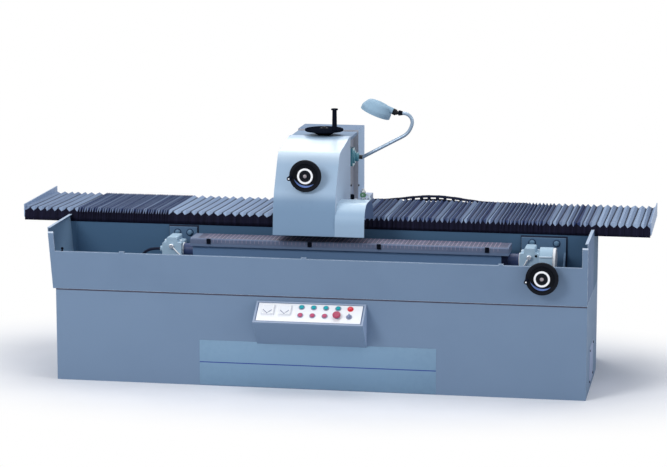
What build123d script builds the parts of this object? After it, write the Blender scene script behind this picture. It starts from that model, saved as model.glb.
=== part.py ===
from build123d import *

import os
from math import atan2, ceil, cos, degrees, hypot, pi, radians, sin, sqrt, tan

# Clearances
RUN = 0.05                    # running fit of shafts, bores and slides, on each side
GAP = 0.3                     # other pieces that pass each other

# Cabinet
CABINET_LENGTH = 2650.0
CABINET_DEPTH = 687.0
CABINET_HEIGHT = 466.0
CABINET_SHEET = 6.0
REAR_BAY_DEPTH = 263.0        # narrower rear part of the cabinet
REAR_BAY_INSET = 25.0
COVER_COUNT = 3               # rear covers
COVER_SHEET = 3.0
COVER_JOINT = 2.0             # gap between covers and round their rim
LOUVRE_COUNT = 6
LOUVRE_LENGTH = 320.0
LOUVRE_WIDTH = 7.0
LOUVRE_PITCH = 26.0
LOUVRE_DROP = 70.0            # top of a cover to its first louvre

# Coolant trough
TROUGH_DEPTH = 400.0          # cabinet front to the wall of the bed
TROUGH_SHEET = 4.0
TROUGH_WALL_HEIGHT = 189.0    # front wall, up to its lip
EAR_HEIGHT = 98.0             # corner ears above the lip
EAR_WIDTH = 28.0
END_RISE = 21.0               # end panels above the ears
END_HEM = 15.0                # folded top of the end panels
LIP_HEM = 12.0
LEFT_OVERHANG = 14.0          # trough past the cabinet at its left bottom corner
LEFT_FLARE = 24.0             # further outward lean of the left end panel
LIP_TAB_PLACES = (340.0, 1260.0, 2230.0)   # clips on the lip, from the cabinet's left end
LIP_TAB_LENGTH = 24.0
LIP_TAB_HEIGHT = 7.0

# Bed and guideways
BED_HEIGHT = 286.0
BED_WALL = 14.0
BED_TOP_PLATE = 25.0
BED_BAYS = 9                  # between the cross ribs, in two rows
WAY_LENGTH = 3200.0           # rails, between the end plates
RAIL_WIDTH = 50.0
RAIL_HEIGHT = 24.0
RAIL_MARGIN = 50.0            # outer face of the way cover to the rail
END_PLATE = 5.0
END_PLATE_BORDER = 4.0
END_PLATE_RISE = 16.5         # above the pleats
LEDGE_START = -60.0           # shelf of the cable chain behind the bed
LEDGE_END = 1450.0
LEDGE_HEIGHT = 228.0          # above the cabinet top
LEDGE_SHEET = 6.0
LEDGE_LIP = 26.0

# Traverse drive
TRAVEL = 800.0                # of the carriage, each way
RACK_MODULE = 5.0
RACK_ADDENDUM = 4.0
RACK_TOP_ROOM = 5.0           # rack top below the rail top
RACK_BODY = 26.0              # rack behind its teeth
PINION_TEETH = 14
PINION_WIDTH = 14.0
PINION_SETBACK = 48.0         # pinion axis behind the column's front face
PINION_SHAFT_RADIUS = 15.0
TOOTH_BACKLASH = 0.8
PRESSURE_ANGLE = 20.0

# Pleated way covers
BELLOWS_SETBACK = 5.0         # behind the front wall of the bed
BELLOWS_DEPTH = 592.0
BELLOWS_HEIGHT = 47.5
PLEAT_PANEL = 21.0            # width of one fold's panel
PLEAT_CLOTH = 2.0
PLEAT_ROOM = 2.5              # deepest fold to the rail top
OPEN_PLEATS = 7               # at the outer end of both covers
OPEN_PITCH_LEFT = 37.0
OPEN_PITCH_RIGHT = 40.0
BUNCHED_PLEATS = 30           # in the middle of the left cover
BUNCHED_PITCH = 14.0
LOOSE_PITCH_LEFT = 38.0       # left cover beside the carriage
LOOSE_PITCH_RIGHT = 28.0      # right cover beside the carriage

# Tilting table
TILT_SETBACK = 250.0          # tilt axis behind the cabinet front
TILT_HEIGHT = 171.0           # tilt axis above the cabinet top
CHUCK_LENGTH = 1600.0
CHUCK_WIDTH = 150.0
CHUCK_THICK = 40.0
CHUCK_RISE = 72.0             # chuck face above the tilt axis
CHUCK_OFFSET = 124.0          # chuck centre to the right of the bed centre
CHUCK_BEVEL = 5.0
BEAM_WIDTH = 120.0
BEAM_HEIGHT = 85.0
BEAM_WALL = 16.0
BEAM_BAYS = 6
BEAM_INSET = 10.0             # beam end inside the chuck end
STOP_PLACES = (95.0, 608.0, 956.0, 1493.0)   # from the chuck's left end
STOP_WIDTH = 20.0
STOP_DEPTH = 5.0
STOP_DROP = 26.0
STOP_RISE = 1.5
TRUNNION_RADIUS = 32.0
TRUNNION_LENGTH = 60.0        # beam end to bearing block
JOURNAL_RADIUS = 22.0
JOURNAL_LENGTH = 60.0
BLOCK_LENGTH = 98.0
BLOCK_DEPTH = 120.0
BLOCK_SHOULDER = 44.0         # shoulders above the tilt axis
BLOCK_CROWN = 70.0            # top above the tilt axis
BLOCK_CROWN_INSET = 22.0
BLOCK_FOOT = 78.0             # foot below the tilt axis
BLOCK_ROUND = 9.0
SEAL_RADIUS = 36.0            # white ring between block and trunnion
SEAL_WIDTH = 5.0
STUB_RADIUS = 15.0            # conduit socket on the left block
STUB_LENGTH = 22.0
DRUM_RADIUS = 68.0            # worm wheel housing
DRUM_LENGTH = 78.0
DRUM_RIM = 14.0
DRUM_STEP = 3.0               # end cover inside the drum
BRACKET_PLATE = 12.0
BRACKET_SHELF = 15.0
BRACKET_RIB = 9.0
BRACKET_TOP = 90.0            # above the tilt axis
BRACKET_SIDE = 36.0           # plate past the parts it carries
RIB_TOP = 72.0                # rib below the plate's upper edge
RIB_REACH = 74.0
RIB_DROP = 73.0
LEVER_PIVOT_RISE = 26.0
LEVER_HUB_RADIUS = 12.5
LEVER_HUB_HEIGHT = 14.0
LEVER_STUD_RADIUS = 6.0
LEVER_STUD_LENGTH = 24.0
LEVER_ROD_RADIUS = 5.0
LEVER_ROD_LENGTH = 66.0
LEVER_ANGLES = (-45.0, -120.0)

# Chuck conduit, from the socket of the left block to the wall of the bed
CONDUIT_RADIUS = 7.0
CONDUIT_ROUTE = ((-48.0, 0.0, 0.0), (-92.0, 12.0, -26.0), (-114.0, 50.0, -58.0), (-118.0, 92.0, -72.0))
CONDUIT_NUT_RADIUS = 12.0
CONDUIT_NUT_LENGTH = 16.0

# Handwheels
WHEEL_RADIUS = 80.0           # both front handwheels
WHEEL_RIM = 18.0
WHEEL_HUB_RADIUS = 27.0
WHEEL_HUB_BACK = 26.0
WHEEL_SHAFT_RADIUS = 9.0
GRIP_RADIUS = 11.0
GRIP_LENGTH = 58.0
GRIP_STUD_RADIUS = 4.0
GRIP_ANGLE = 185.0
TOP_WHEEL_RADIUS = 98.0
TOP_WHEEL_RIM = 12.0
TOP_WHEEL_HUB = 49.0
TOP_WHEEL_CONE = 74.0         # cone under the wheel, at its web
TOP_WHEEL_FOOT = 27.0         # and at its foot
TOP_WHEEL_LIFT = 24.0         # hub under the rim
TOP_GRIP_RADIUS = 14.0
TOP_GRIP_LENGTH = 112.0
TOP_GRIP_ANGLE = -45.0
TILT_WHEEL_OFFSET = 37.0      # tilt shaft past the drum's left edge
TILT_WHEEL_DROP = 31.0        # tilt shaft below the tilt axis
SHAFT_BOSS_RADIUS = 20.0
SHAFT_BOSS_LENGTH = 14.0

# Carriage
HEAD_OFFSET = -85.5           # cover centre from the bed centre at mid travel
SADDLE_HEIGHT = 54.0
SADDLE_REACH = 50.0           # past the right side of the cover
SADDLE_LIP = 20.0
COLUMN_WIDTH = 317.0
COLUMN_DEPTH = 195.0
COLUMN_HEIGHT = 357.0
COLUMN_WALL = 14.0
DOVETAIL_WIDTH = 200.0
DOVETAIL_ROOT = 150.0
DOVETAIL_DEPTH = 55.0
DOVETAIL_NECK = 18.0
DOVETAIL_TOP_ROOM = 37.0      # way below the column top
NUT_WIDTH = 56.0
NUT_HEIGHT = 50.0
NUT_RISE = 130.0              # nut above the saddle
GEARBOX_HEIGHT = 70.0
GEARBOX_WIDTH = 120.0
TRAVERSE_MOTOR_RADIUS = 52.0
TRAVERSE_MOTOR_HEIGHT = 150.0

# Grinding head
COVER_WIDTH = 311.0
COVER_SHEET_HEAD = 3.0
COVER_LOWER_RISE = 177.0
COVER_LOWER_LEAN = 18.0
COVER_UPPER_RISE = 217.0
COVER_UPPER_LEAN = 128.0
COVER_CROWN_RISE = 41.0
COVER_CROWN_FLAT = 35.0
COVER_SOFT_BEND = 260.0
COVER_SHOULDER = 60.0
COVER_CROWN_BEND = 150.0
COVER_ROOM = 10.0             # cover to the bed wall
GUARD_WIDTH = 147.0
GUARD_DEPTH = 287.0
GUARD_HEIGHT = 157.0
GUARD_ROUND = 100.0
GUARD_MOUTH_FRONT = 96.0      # open below and behind: height of the mouth at the front sheet
GUARD_MOUTH_BACK = 47.0       # and at the back
STONE_RADIUS = 75.0           # cup wheel
STONE_WIDTH = 80.0
STONE_WALL = 24.0
STONE_FLOOR = 20.0
STONE_SETOVER = 28.0          # cover wall to the wheel
STONE_ROOM = 3.0              # table swing to the wheel
GUARD_LIFT = 2.0              # guard's edge above the wheel's lowest point
SPINDLE_RADIUS = 14.0
FLANGE_RADIUS = 32.0
FLANGE_WIDTH = 12.0
MOTOR_RADIUS = 62.0
MOTOR_INSET_LEFT = 18.0
MOTOR_INSET_RIGHT = 45.0
MOTOR_SEAT = 8.0              # top of the motor to its mounting arm
SPINDLE_SEAT = 40.0           # spindle inside the motor
SLIDE_FRONT_SETBACK = 575.0   # head slide behind the cabinet front
SLIDE_WIDTH = 274.0
SLIDE_BACK_ROOM = 14.0        # head slide to the column
SLIDE_BOTTOM_ROOM = 20.0      # head slide above the saddle
SCREW_PLATE = 15.0
SCREW_PLATE_DROP = 7.0        # plate top below the column top
SCREW_RADIUS = 12.0
SCREW_SETBACK = 45.0          # screw axis behind the slide's front
SCREW_OFFSET = 11.5           # screw axis to the right of the head centre
SCREW_TAIL = 30.0             # screw end above the saddle
POCKET_ROOM = 10.0            # round the nut
ARM_WIDTH = 190.0
ARM_THICK = 32.0
FINE_WHEEL_RISE = 295.0       # fine-feed shaft above the cover's lower edge
FINE_WHEEL_OFFSET = 4.5       # to the right of the head centre
FINE_WHEEL_ROOM = 6.0         # rim to the cover
FINE_BOSS_RADIUS = 24.0
FINE_BOSS_INNER = 40.0        # bearing boss behind the cover sheet
KNOB_RADIUS = 14.0            # slide lock
KNOB_LENGTH = 34.0
KNOB_STUD_RADIUS = 5.0
KNOB_STUD_LENGTH = 20.0
KNOB_SETBACK = 17.0
KNOB_RISE = 42.0              # above the saddle

# Coolant valve on the wheel guard
VALVE_PLACE = 102.0           # from the guard's left edge
VALVE_SETBACK = 100.0         # behind the grinding axis
VALVE_RADIUS = 13.0
VALVE_HEIGHT = 40.0
VALVE_FOOT = 8.0
VALVE_CAP_RADIUS = 7.0
VALVE_CAP_HEIGHT = 9.0
OUTLET_LENGTH = 8.0
HOSE_RADIUS = 4.3
HOSE_BORE = 3.0
HOSE_REACH = 24.0
HOSE_BEND = 16.0
VALVE_STEM_RADIUS = 4.0
VALVE_LEVER_LENGTH = 17.0
VALVE_LEVER_WIDTH = 22.0
VALVE_LEVER_THICK = 5.0

# Work lamp
LAMP_SETBACK = 8.5            # behind the middle of the slide's side
LAMP_RISE = 234.0             # above the saddle
LAMP_BASE_WIDTH = 45.0
LAMP_BASE_DEPTH = 70.0
LAMP_BASE_HEIGHT = 92.0
LAMP_PLATE = 16.0             # flange on the slide
LAMP_STEP_RADIUS = 34.0       # stepped boss on the flange
LAMP_STEP = 9.0
LAMP_BOSS_RADIUS = 23.0
LAMP_GLAND_RADIUS = 11.0
LAMP_GLAND_LENGTH = 17.0
LAMP_ARM_RADIUS = 9.0
LAMP_PIN_RADIUS = 6.0
LAMP_PIN_LENGTH = 24.0
LAMP_ROUTE = ((238.0, 128.0), (273.0, 226.0), (172.0, 233.0))   # past the gland, in X and Z
LAMP_BENDS = (90.0, 45.0)
BALL_RADIUS = 12.0
SOCKET_RADIUS = 16.0
PIVOT_RADIUS = 5.0            # pivot screws at the sides of the socket
PIVOT_REACH = 4.0
SHADE_RADIUS = 79.0
SHADE_HEIGHT = 68.0
SHADE_SHEET = 2.5
SHADE_TURN = 23.0             # rim falls towards the arm
SHADE_NECK = 18.0             # ball centre to the shade's side
SHADE_LIFT = 48.0             # ball centre above the rim plane
BULB_RADIUS = 18.0
BULB_LENGTH = 58.0
BULB_CAP_RADIUS = 13.0

# Console
CONSOLE_LEFT = -300.0
CONSOLE_WIDTH = 548.0
CONSOLE_TOP = 439.0
CONSOLE_REACH = 119.0
CONSOLE_DROP = 86.0
CONSOLE_FOOT = 222.0
CONSOLE_SHEET = 2.5
PANEL_MARGIN = 15.0
PANEL_SHEET = 2.0
METER_SIZE = 62.0
METER_HEIGHT = 12.0
METER_ROUND = 4.0
METER_PLACES = (66.0, 151.0)  # from the console's left side
METER_DROP = 63.0             # below the panel's upper edge, along the slope
BUTTON_FIRST = 231.0
BUTTON_PITCH = 60.6
UPPER_ROW = 38.5
LOWER_ROW = 91.0
BUTTON_RADIUS = 11.0
BUTTON_LIFT = 9.0             # cap above the panel
BUTTON_STEM = 12.0            # under the panel
COLLAR_RADIUS = 15.0
COLLAR_HEIGHT = 4.0
MUSHROOM_RADIUS = 20.0
MUSHROOM_HEIGHT = 11.0
MUSHROOM_LIFT = 12.0
LENS_RADIUS = 12.0
LENS_LIFT = 12.0
SELECTOR_LIFT = 6.0
SELECTOR_BAR = 10.0
SELECTOR_BAR_WIDTH = 7.0

# Cable chain
LINK_PITCH = 42.0
LINK_HEIGHT = 25.0
LINK_WIDTH = 50.0
LINK_NARROW = 40.0
LINK_WINDOW = 13.0
CHAIN_BEND_RADIUS = 35.0
CHAIN_BEND_LINKS = 5
CHAIN_RUN = 797.0             # upper run
CHAIN_HUMP = 28.0             # rise of its free arch
CHAIN_HUMP_LENGTH = 640.0
CHAIN_ROOM = 8.0              # behind the way covers and the bed

# Places worked out from the sizes above
FRONT = -(CABINET_DEPTH + REAR_BAY_DEPTH) / 2
BACK = -FRONT
LEFT = -CABINET_LENGTH / 2
RIGHT = CABINET_LENGTH / 2
BED_FRONT = FRONT + TROUGH_DEPTH
BED_TOP = CABINET_HEIGHT + BED_HEIGHT
RAIL_TOP = BED_TOP + RAIL_HEIGHT
LIP_Z = CABINET_HEIGHT + TROUGH_WALL_HEIGHT
EAR_Z = LIP_Z + EAR_HEIGHT
END_Z = EAR_Z + END_RISE
BELLOWS_FRONT = BED_FRONT + BELLOWS_SETBACK
BELLOWS_BACK = BELLOWS_FRONT + BELLOWS_DEPTH
BELLOWS_TOP = RAIL_TOP + PLEAT_ROOM + PLEAT_CLOTH + PLEAT_PANEL
RAIL_FRONT = BELLOWS_FRONT + RAIL_MARGIN
RAIL_BACK = BELLOWS_BACK - RAIL_MARGIN - RAIL_WIDTH
TILT_Y = FRONT + TILT_SETBACK
TILT_Z = CABINET_HEIGHT + TILT_HEIGHT
CHUCK_LEFT = CHUCK_OFFSET - CHUCK_LENGTH / 2
CHUCK_RIGHT = CHUCK_LEFT + CHUCK_LENGTH
CHUCK_TOP = TILT_Z + CHUCK_RISE
BEAM_LEFT = CHUCK_LEFT + BEAM_INSET
BEAM_RIGHT = CHUCK_RIGHT - BEAM_INSET
BEAM_TOP = CHUCK_TOP - CHUCK_THICK
SWING = hypot(CHUCK_WIDTH / 2 + STOP_DEPTH, CHUCK_RISE + STOP_RISE)
LEFT_BLOCK_END = BEAM_LEFT - TRUNNION_LENGTH
LEFT_BLOCK_START = LEFT_BLOCK_END - BLOCK_LENGTH
GEARBOX_START = BEAM_RIGHT + TRUNNION_LENGTH
GEARBOX_END = GEARBOX_START + BLOCK_LENGTH
DRUM_END = GEARBOX_END + DRUM_LENGTH
SHELF_Z = TILT_Z - BLOCK_FOOT
TILT_WHEEL_X = GEARBOX_END + TILT_WHEEL_OFFSET
TILT_WHEEL_Z = TILT_Z - TILT_WHEEL_DROP
TROUGH_FRONT = FRONT - TROUGH_SHEET
HEAD_LEFT = HEAD_OFFSET - COVER_WIDTH / 2
HEAD_RIGHT = HEAD_LEFT + COVER_WIDTH
GUARD_RIGHT = HEAD_RIGHT + GUARD_WIDTH
SADDLE_RIGHT = HEAD_RIGHT + SADDLE_REACH
STONE_Z = TILT_Z + SWING + STONE_ROOM + STONE_RADIUS
GUARD_Z = STONE_Z - STONE_RADIUS + GUARD_LIFT
GUARD_FRONT = TILT_Y - GUARD_DEPTH / 2
SADDLE_TOP = RAIL_TOP + SADDLE_HEIGHT
COLUMN_FRONT = BELLOWS_BACK - COLUMN_DEPTH
COLUMN_TOP = SADDLE_TOP + COLUMN_HEIGHT
WAY_FRONT = COLUMN_FRONT - DOVETAIL_DEPTH
WAY_TOP = COLUMN_TOP - DOVETAIL_TOP_ROOM
SLIDE_FRONT = FRONT + SLIDE_FRONT_SETBACK
SLIDE_BACK = COLUMN_FRONT - SLIDE_BACK_ROOM
SLIDE_LEFT = HEAD_OFFSET - SLIDE_WIDTH / 2
SLIDE_RIGHT = HEAD_OFFSET + SLIDE_WIDTH / 2
SLIDE_BOTTOM = SADDLE_TOP + SLIDE_BOTTOM_ROOM
PLATE_TOP = COLUMN_TOP - SCREW_PLATE_DROP
SLIDE_TOP = PLATE_TOP - SCREW_PLATE
SCREW_X = HEAD_OFFSET + SCREW_OFFSET
SCREW_Y = SLIDE_FRONT + SCREW_SETBACK
NUT_Z = SADDLE_TOP + NUT_RISE
ARM_Z = STONE_Z + MOTOR_RADIUS + MOTOR_SEAT
FINE_X = HEAD_OFFSET + FINE_WHEEL_OFFSET
FINE_Z = GUARD_Z + FINE_WHEEL_RISE
PINION_Y = COLUMN_FRONT + PINION_SETBACK
PINION_RADIUS = RACK_MODULE * PINION_TEETH / 2
RACK_TOP = RAIL_TOP - RACK_TOP_ROOM
LAMP_Y = (SLIDE_FRONT + SLIDE_BACK) / 2 + LAMP_SETBACK
LAMP_Z = SADDLE_TOP + LAMP_RISE
GLAND_END = SLIDE_RIGHT + LAMP_BASE_WIDTH + LAMP_GLAND_LENGTH
VALVE_X = HEAD_RIGHT + VALVE_PLACE
VALVE_Y = TILT_Y + VALVE_SETBACK
CONSOLE_SLOPE = hypot(CONSOLE_REACH, CONSOLE_DROP)
LEDGE_Z = CABINET_HEIGHT + LEDGE_HEIGHT
CHAIN_FRONT = max(BELLOWS_BACK, BACK) + CHAIN_ROOM
CHAIN_Y = CHAIN_FRONT + LINK_WIDTH / 2
LEDGE_BACK = CHAIN_FRONT + LINK_WIDTH + CHAIN_ROOM + LEDGE_SHEET
CHAIN_LOW = LEDGE_Z + LINK_HEIGHT / 2
CHAIN_HIGH = CHAIN_LOW + 2 * CHAIN_BEND_RADIUS
CHAIN_END = SADDLE_RIGHT + CHAIN_RUN


def block(x0, x1, y0, y1, z0, z1):
    corner = (Align.MIN, Align.MIN, Align.MIN)
    return Pos(x0, y0, z0) * Box(x1 - x0, y1 - y0, z1 - z0, align=corner)


def outline(points):
    """Closed face through points (a, b), or (a, b, r) where r rounds that corner."""
    spots = [Vector(*point[:2]) for point in points]
    edges = []
    ends = []
    for i, point in enumerate(points):
        here = spots[i]
        back = (spots[i - 1] - here).normalized()
        ahead = (spots[(i + 1) % len(spots)] - here).normalized()
        radius = point[2] if len(point) > 2 else 0
        if radius == 0:
            ends.append((here, here))
            continue
        half = radians(back.get_angle(ahead)) / 2
        start = here + back * (radius / tan(half))
        end = here + ahead * (radius / tan(half))
        middle = here + (back + ahead).normalized() * (radius / sin(half) - radius)
        edges.append(ThreePointArc(start, middle, end))
        ends.append((start, end))
    for i, (start, end) in enumerate(ends):
        edges.append(Line(end, ends[(i + 1) % len(ends)][0]))
    return make_face(edges)


def prism_x(face, x0, x1):
    plane = Plane(origin=(x0, 0, 0), x_dir=(0, 1, 0), z_dir=(1, 0, 0))
    return extrude(plane * face, x1 - x0)


def prism_y(face, y0, y1):
    plane = Plane(origin=(0, y1, 0), x_dir=(1, 0, 0), z_dir=(0, -1, 0))
    return extrude(plane * face, y1 - y0)


def prism_z(face, z0, z1):
    return extrude(Plane.XY.offset(z0) * face, z1 - z0)


def rod(radius, start, end):
    axis = Vector(*end) - Vector(*start)
    return extrude(Plane(origin=start, z_dir=axis) * Circle(radius), axis.length)


def rod_x(radius, x0, x1, y, z):
    return rod(radius, (x0, y, z), (x1, y, z))


def rod_y(radius, x, y0, y1, z):
    return rod(radius, (x, y0, z), (x, y1, z))


def rod_z(radius, x, y, z0, z1):
    return rod(radius, (x, y, z0), (x, y, z1))


def turned(points, plane):
    """Solid of revolution about the plane's normal, from an outline of (radius, height)."""
    return plane.location * revolve(Plane.XZ * outline(points), Axis.Z)


def facing_front(x, y, z):
    """Plane seen from the front: its x is X, its y is Z, and it looks out towards the operator."""
    return Plane(origin=(x, y, z), x_dir=(1, 0, 0), z_dir=(0, -1, 0))


def facing_right(x, y, z):
    return Plane(origin=(x, y, z), x_dir=(0, 1, 0), z_dir=(1, 0, 0))


def facing_up(x, y, z):
    return Plane(origin=(x, y, z), x_dir=(1, 0, 0), z_dir=(0, 0, 1))


def base_cabinet():
    bay_left = LEFT + REAR_BAY_INSET
    bay_right = RIGHT - REAR_BAY_INSET
    step = FRONT + CABINET_DEPTH
    wall = CABINET_SHEET
    shell = block(LEFT, RIGHT, FRONT, step, 0, CABINET_HEIGHT)
    shell += block(bay_left, bay_right, step, BACK, 0, CABINET_HEIGHT)
    shell -= block(LEFT + wall, RIGHT - wall, FRONT + wall, step - wall, wall, CABINET_HEIGHT - wall)
    shell -= block(bay_left + wall, bay_right - wall, FRONT + wall, BACK, wall, CABINET_HEIGHT - wall)
    bay = (bay_right - bay_left) / COVER_COUNT
    for i in range(1, COVER_COUNT):
        x = bay_left + i * bay
        shell += block(x - wall, x + wall, FRONT + wall, BACK, wall, CABINET_HEIGHT - wall)
    return shell


def rear_covers():
    bay_left = LEFT + REAR_BAY_INSET
    bay = (CABINET_LENGTH - 2 * REAR_BAY_INSET) / COVER_COUNT
    top = CABINET_HEIGHT - COVER_JOINT
    covers = []
    for i in range(COVER_COUNT):
        x0 = bay_left + i * bay + COVER_JOINT
        x1 = x0 + bay - 2 * COVER_JOINT
        cover = block(x0, x1, BACK, BACK + COVER_SHEET, COVER_JOINT, top)
        middle = (x0 + x1) / 2
        for k in range(LOUVRE_COUNT):
            z = top - LOUVRE_DROP - k * LOUVRE_PITCH
            cover -= block(middle - LOUVRE_LENGTH / 2, middle + LOUVRE_LENGTH / 2,
                           BACK, BACK + COVER_SHEET, z - LOUVRE_WIDTH, z)
        covers.append(cover)
    return covers


def left_edge(z):
    """Outer face of the leaning left end of the trough at height z."""
    lean = LEFT_FLARE * (z - CABINET_HEIGHT) / (END_Z - CABINET_HEIGHT)
    return LEFT - LEFT_OVERHANG - lean


def coolant_trough():
    floor = CABINET_HEIGHT
    front = [(left_edge(floor), floor), (RIGHT, floor), (RIGHT, EAR_Z), (RIGHT - EAR_WIDTH, EAR_Z),
             (RIGHT - EAR_WIDTH, LIP_Z), (left_edge(LIP_Z) + EAR_WIDTH, LIP_Z),
             (left_edge(EAR_Z) + EAR_WIDTH, EAR_Z), (left_edge(EAR_Z), EAR_Z)]
    tray = prism_y(outline(front), TROUGH_FRONT, FRONT)
    tray += block(left_edge(floor), RIGHT, FRONT, BED_FRONT, floor, floor + TROUGH_SHEET)
    hem_left = left_edge(LIP_Z) + EAR_WIDTH
    tray += block(hem_left, RIGHT - EAR_WIDTH, FRONT, FRONT + LIP_HEM, LIP_Z - TROUGH_SHEET, LIP_Z)
    for place in LIP_TAB_PLACES:
        x = LEFT + place
        tray += block(x - LIP_TAB_LENGTH / 2, x + LIP_TAB_LENGTH / 2, TROUGH_FRONT, FRONT + LIP_HEM,
                      LIP_Z, LIP_Z + LIP_TAB_HEIGHT)
    boss = TROUGH_FRONT - SHAFT_BOSS_LENGTH
    tray += rod_y(SHAFT_BOSS_RADIUS, TILT_WHEEL_X, boss, FRONT, TILT_WHEEL_Z)
    return tray - rod_y(WHEEL_SHAFT_RADIUS + RUN, TILT_WHEEL_X, boss, FRONT, TILT_WHEEL_Z)


def trough_end_panels():
    """End sheets of the trough; the left one leans out and its strip closes the corner beside the bed."""
    base = CABINET_HEIGHT + TROUGH_SHEET
    sheet = TROUGH_SHEET
    foot = left_edge(base)
    head = left_edge(END_Z)
    left = [(foot, base), (foot + sheet, base), (head + sheet, END_Z - sheet),
            (head + END_HEM, END_Z - sheet), (head + END_HEM, END_Z), (head, END_Z)]
    right = [(RIGHT, base), (RIGHT, END_Z), (RIGHT - END_HEM, END_Z), (RIGHT - END_HEM, END_Z - sheet),
             (RIGHT - sheet, END_Z - sheet), (RIGHT - sheet, base)]
    panels = [prism_y(outline(points), FRONT, BED_FRONT) for points in (left, right)]
    corner = [(left_edge(CABINET_HEIGHT), CABINET_HEIGHT), (LEFT, CABINET_HEIGHT), (LEFT, BED_TOP),
              (left_edge(BED_TOP), BED_TOP)]
    panels[0] += prism_y(outline(corner), BED_FRONT, BED_FRONT + sheet)
    return panels


def bed():
    """Casting open below, with cross ribs and one long rib, and the shelf of the cable chain behind."""
    step = FRONT + CABINET_DEPTH
    bay_left = LEFT + REAR_BAY_INSET
    bay_right = RIGHT - REAR_BAY_INSET
    wall = BED_WALL
    ceiling = BED_TOP - BED_TOP_PLATE
    shell = block(LEFT, RIGHT, BED_FRONT, step, CABINET_HEIGHT, BED_TOP)
    shell += block(bay_left, bay_right, step, BACK, CABINET_HEIGHT, BED_TOP)
    rows = ((LEFT + wall, RIGHT - wall, BED_FRONT + wall, step - wall),
            (bay_left + wall, bay_right - wall, step, BACK - wall))
    for x0, x1, y0, y1 in rows:
        pitch = (x1 - x0 + wall) / BED_BAYS
        for i in range(BED_BAYS):
            x = x0 + i * pitch
            shell -= block(x, x + pitch - wall, y0, y1, CABINET_HEIGHT, ceiling)
    under = LEDGE_Z - LEDGE_SHEET
    shell += block(LEDGE_START, LEDGE_END, BACK, LEDGE_BACK, under, LEDGE_Z)
    shell += block(LEDGE_START, LEDGE_END, LEDGE_BACK - LEDGE_SHEET, LEDGE_BACK, under, LEDGE_Z + LEDGE_LIP)
    brace = outline([(BACK, under), (LEDGE_BACK, under), (BACK, under - (LEDGE_BACK - BACK))])
    spacing = (bay_right - LEDGE_START - LEDGE_SHEET) / 3
    for i in range(4):
        x = LEDGE_START + i * spacing
        shell += prism_x(brace, x, x + LEDGE_SHEET)
    return shell


def guide_rails():
    ends = (-WAY_LENGTH / 2, WAY_LENGTH / 2)
    rails = [block(*ends, y, y + RAIL_WIDTH, BED_TOP, RAIL_TOP) for y in (RAIL_FRONT, RAIL_BACK)]
    return rails


def traverse_rack():
    """Straight rack whose teeth face the pinion; a tooth gap stands opposite a pinion tooth at rest."""
    pitch = pi * RACK_MODULE
    line = PINION_Y - PINION_RADIUS
    lean = tan(radians(PRESSURE_ANGLE))
    tip = line + RACK_ADDENDUM
    root = line - 1.25 * RACK_MODULE
    count = 2 * ceil((TRAVEL + 2 * PINION_RADIUS) / pitch)
    half = pitch / 4 - TOOTH_BACKLASH / 4
    start = HEAD_OFFSET - count * pitch / 2
    points = [(start, root - RACK_BODY), (start, root)]
    for i in range(count):
        x = start + (i + 0.5) * pitch
        foot = half + lean * (line - root)
        head = half - lean * (tip - line)
        points += [(x - foot, root), (x - head, tip), (x + head, tip), (x + foot, root)]
    end = start + count * pitch
    points += [(end, root), (end, root - RACK_BODY)]
    return prism_z(outline(points), BED_TOP, RACK_TOP)


def bellows_end_plates():
    plates = []
    for side in (-1, 1):
        inner = side * WAY_LENGTH / 2
        outer = inner + side * END_PLATE
        plates.append(block(min(inner, outer), max(inner, outer), BELLOWS_FRONT - END_PLATE_BORDER,
                            BELLOWS_BACK + END_PLATE_BORDER, BED_TOP, BELLOWS_TOP + END_PLATE_RISE))
    return plates


def pleat_section(x, inset):
    """Cut through a way cover: a top and two skirts of cloth, drawn in by the depth of the fold."""
    front = BELLOWS_FRONT + inset
    back = BELLOWS_BACK - inset
    top = BELLOWS_TOP - inset
    foot = BELLOWS_TOP - BELLOWS_HEIGHT
    cloth = PLEAT_CLOTH
    points = [(front, foot), (front, top), (back, top), (back, foot), (back - cloth, foot),
              (back - cloth, top - cloth), (front + cloth, top - cloth), (front + cloth, foot)]
    plane = Plane(origin=(x, 0, 0), x_dir=(0, 1, 0), z_dir=(1, 0, 0))
    return plane * outline(points)


def pleated_cover(fixed, moving, zones, loose_pitch):
    """Way cover from its fixed end to the carriage, in zones of open, bunched and loose pleats."""
    way = 1 if moving > fixed else -1
    pitches = [pitch for count, pitch in zones for _ in range(count)]
    rest = abs(moving - fixed) - sum(pitches)
    count = max(1, round(rest / loose_pitch))
    pitches += [rest / count] * count
    x = fixed
    sections = [pleat_section(x, 0)]
    for pitch in pitches:
        depth = sqrt(max(PLEAT_PANEL ** 2 - (pitch / 2) ** 2, PLEAT_CLOTH ** 2))
        sections.append(pleat_section(x + way * pitch / 2, depth))
        x += way * pitch
        sections.append(pleat_section(x, 0))
    return loft(sections, ruled=True)


def bellows_left():
    zones = ((OPEN_PLEATS, OPEN_PITCH_LEFT), (BUNCHED_PLEATS, BUNCHED_PITCH))
    return pleated_cover(-WAY_LENGTH / 2, HEAD_LEFT, zones, LOOSE_PITCH_LEFT)


def bellows_right():
    zones = ((OPEN_PLEATS, OPEN_PITCH_RIGHT),)
    return pleated_cover(WAY_LENGTH / 2, SADDLE_RIGHT, zones, LOOSE_PITCH_RIGHT)


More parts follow.
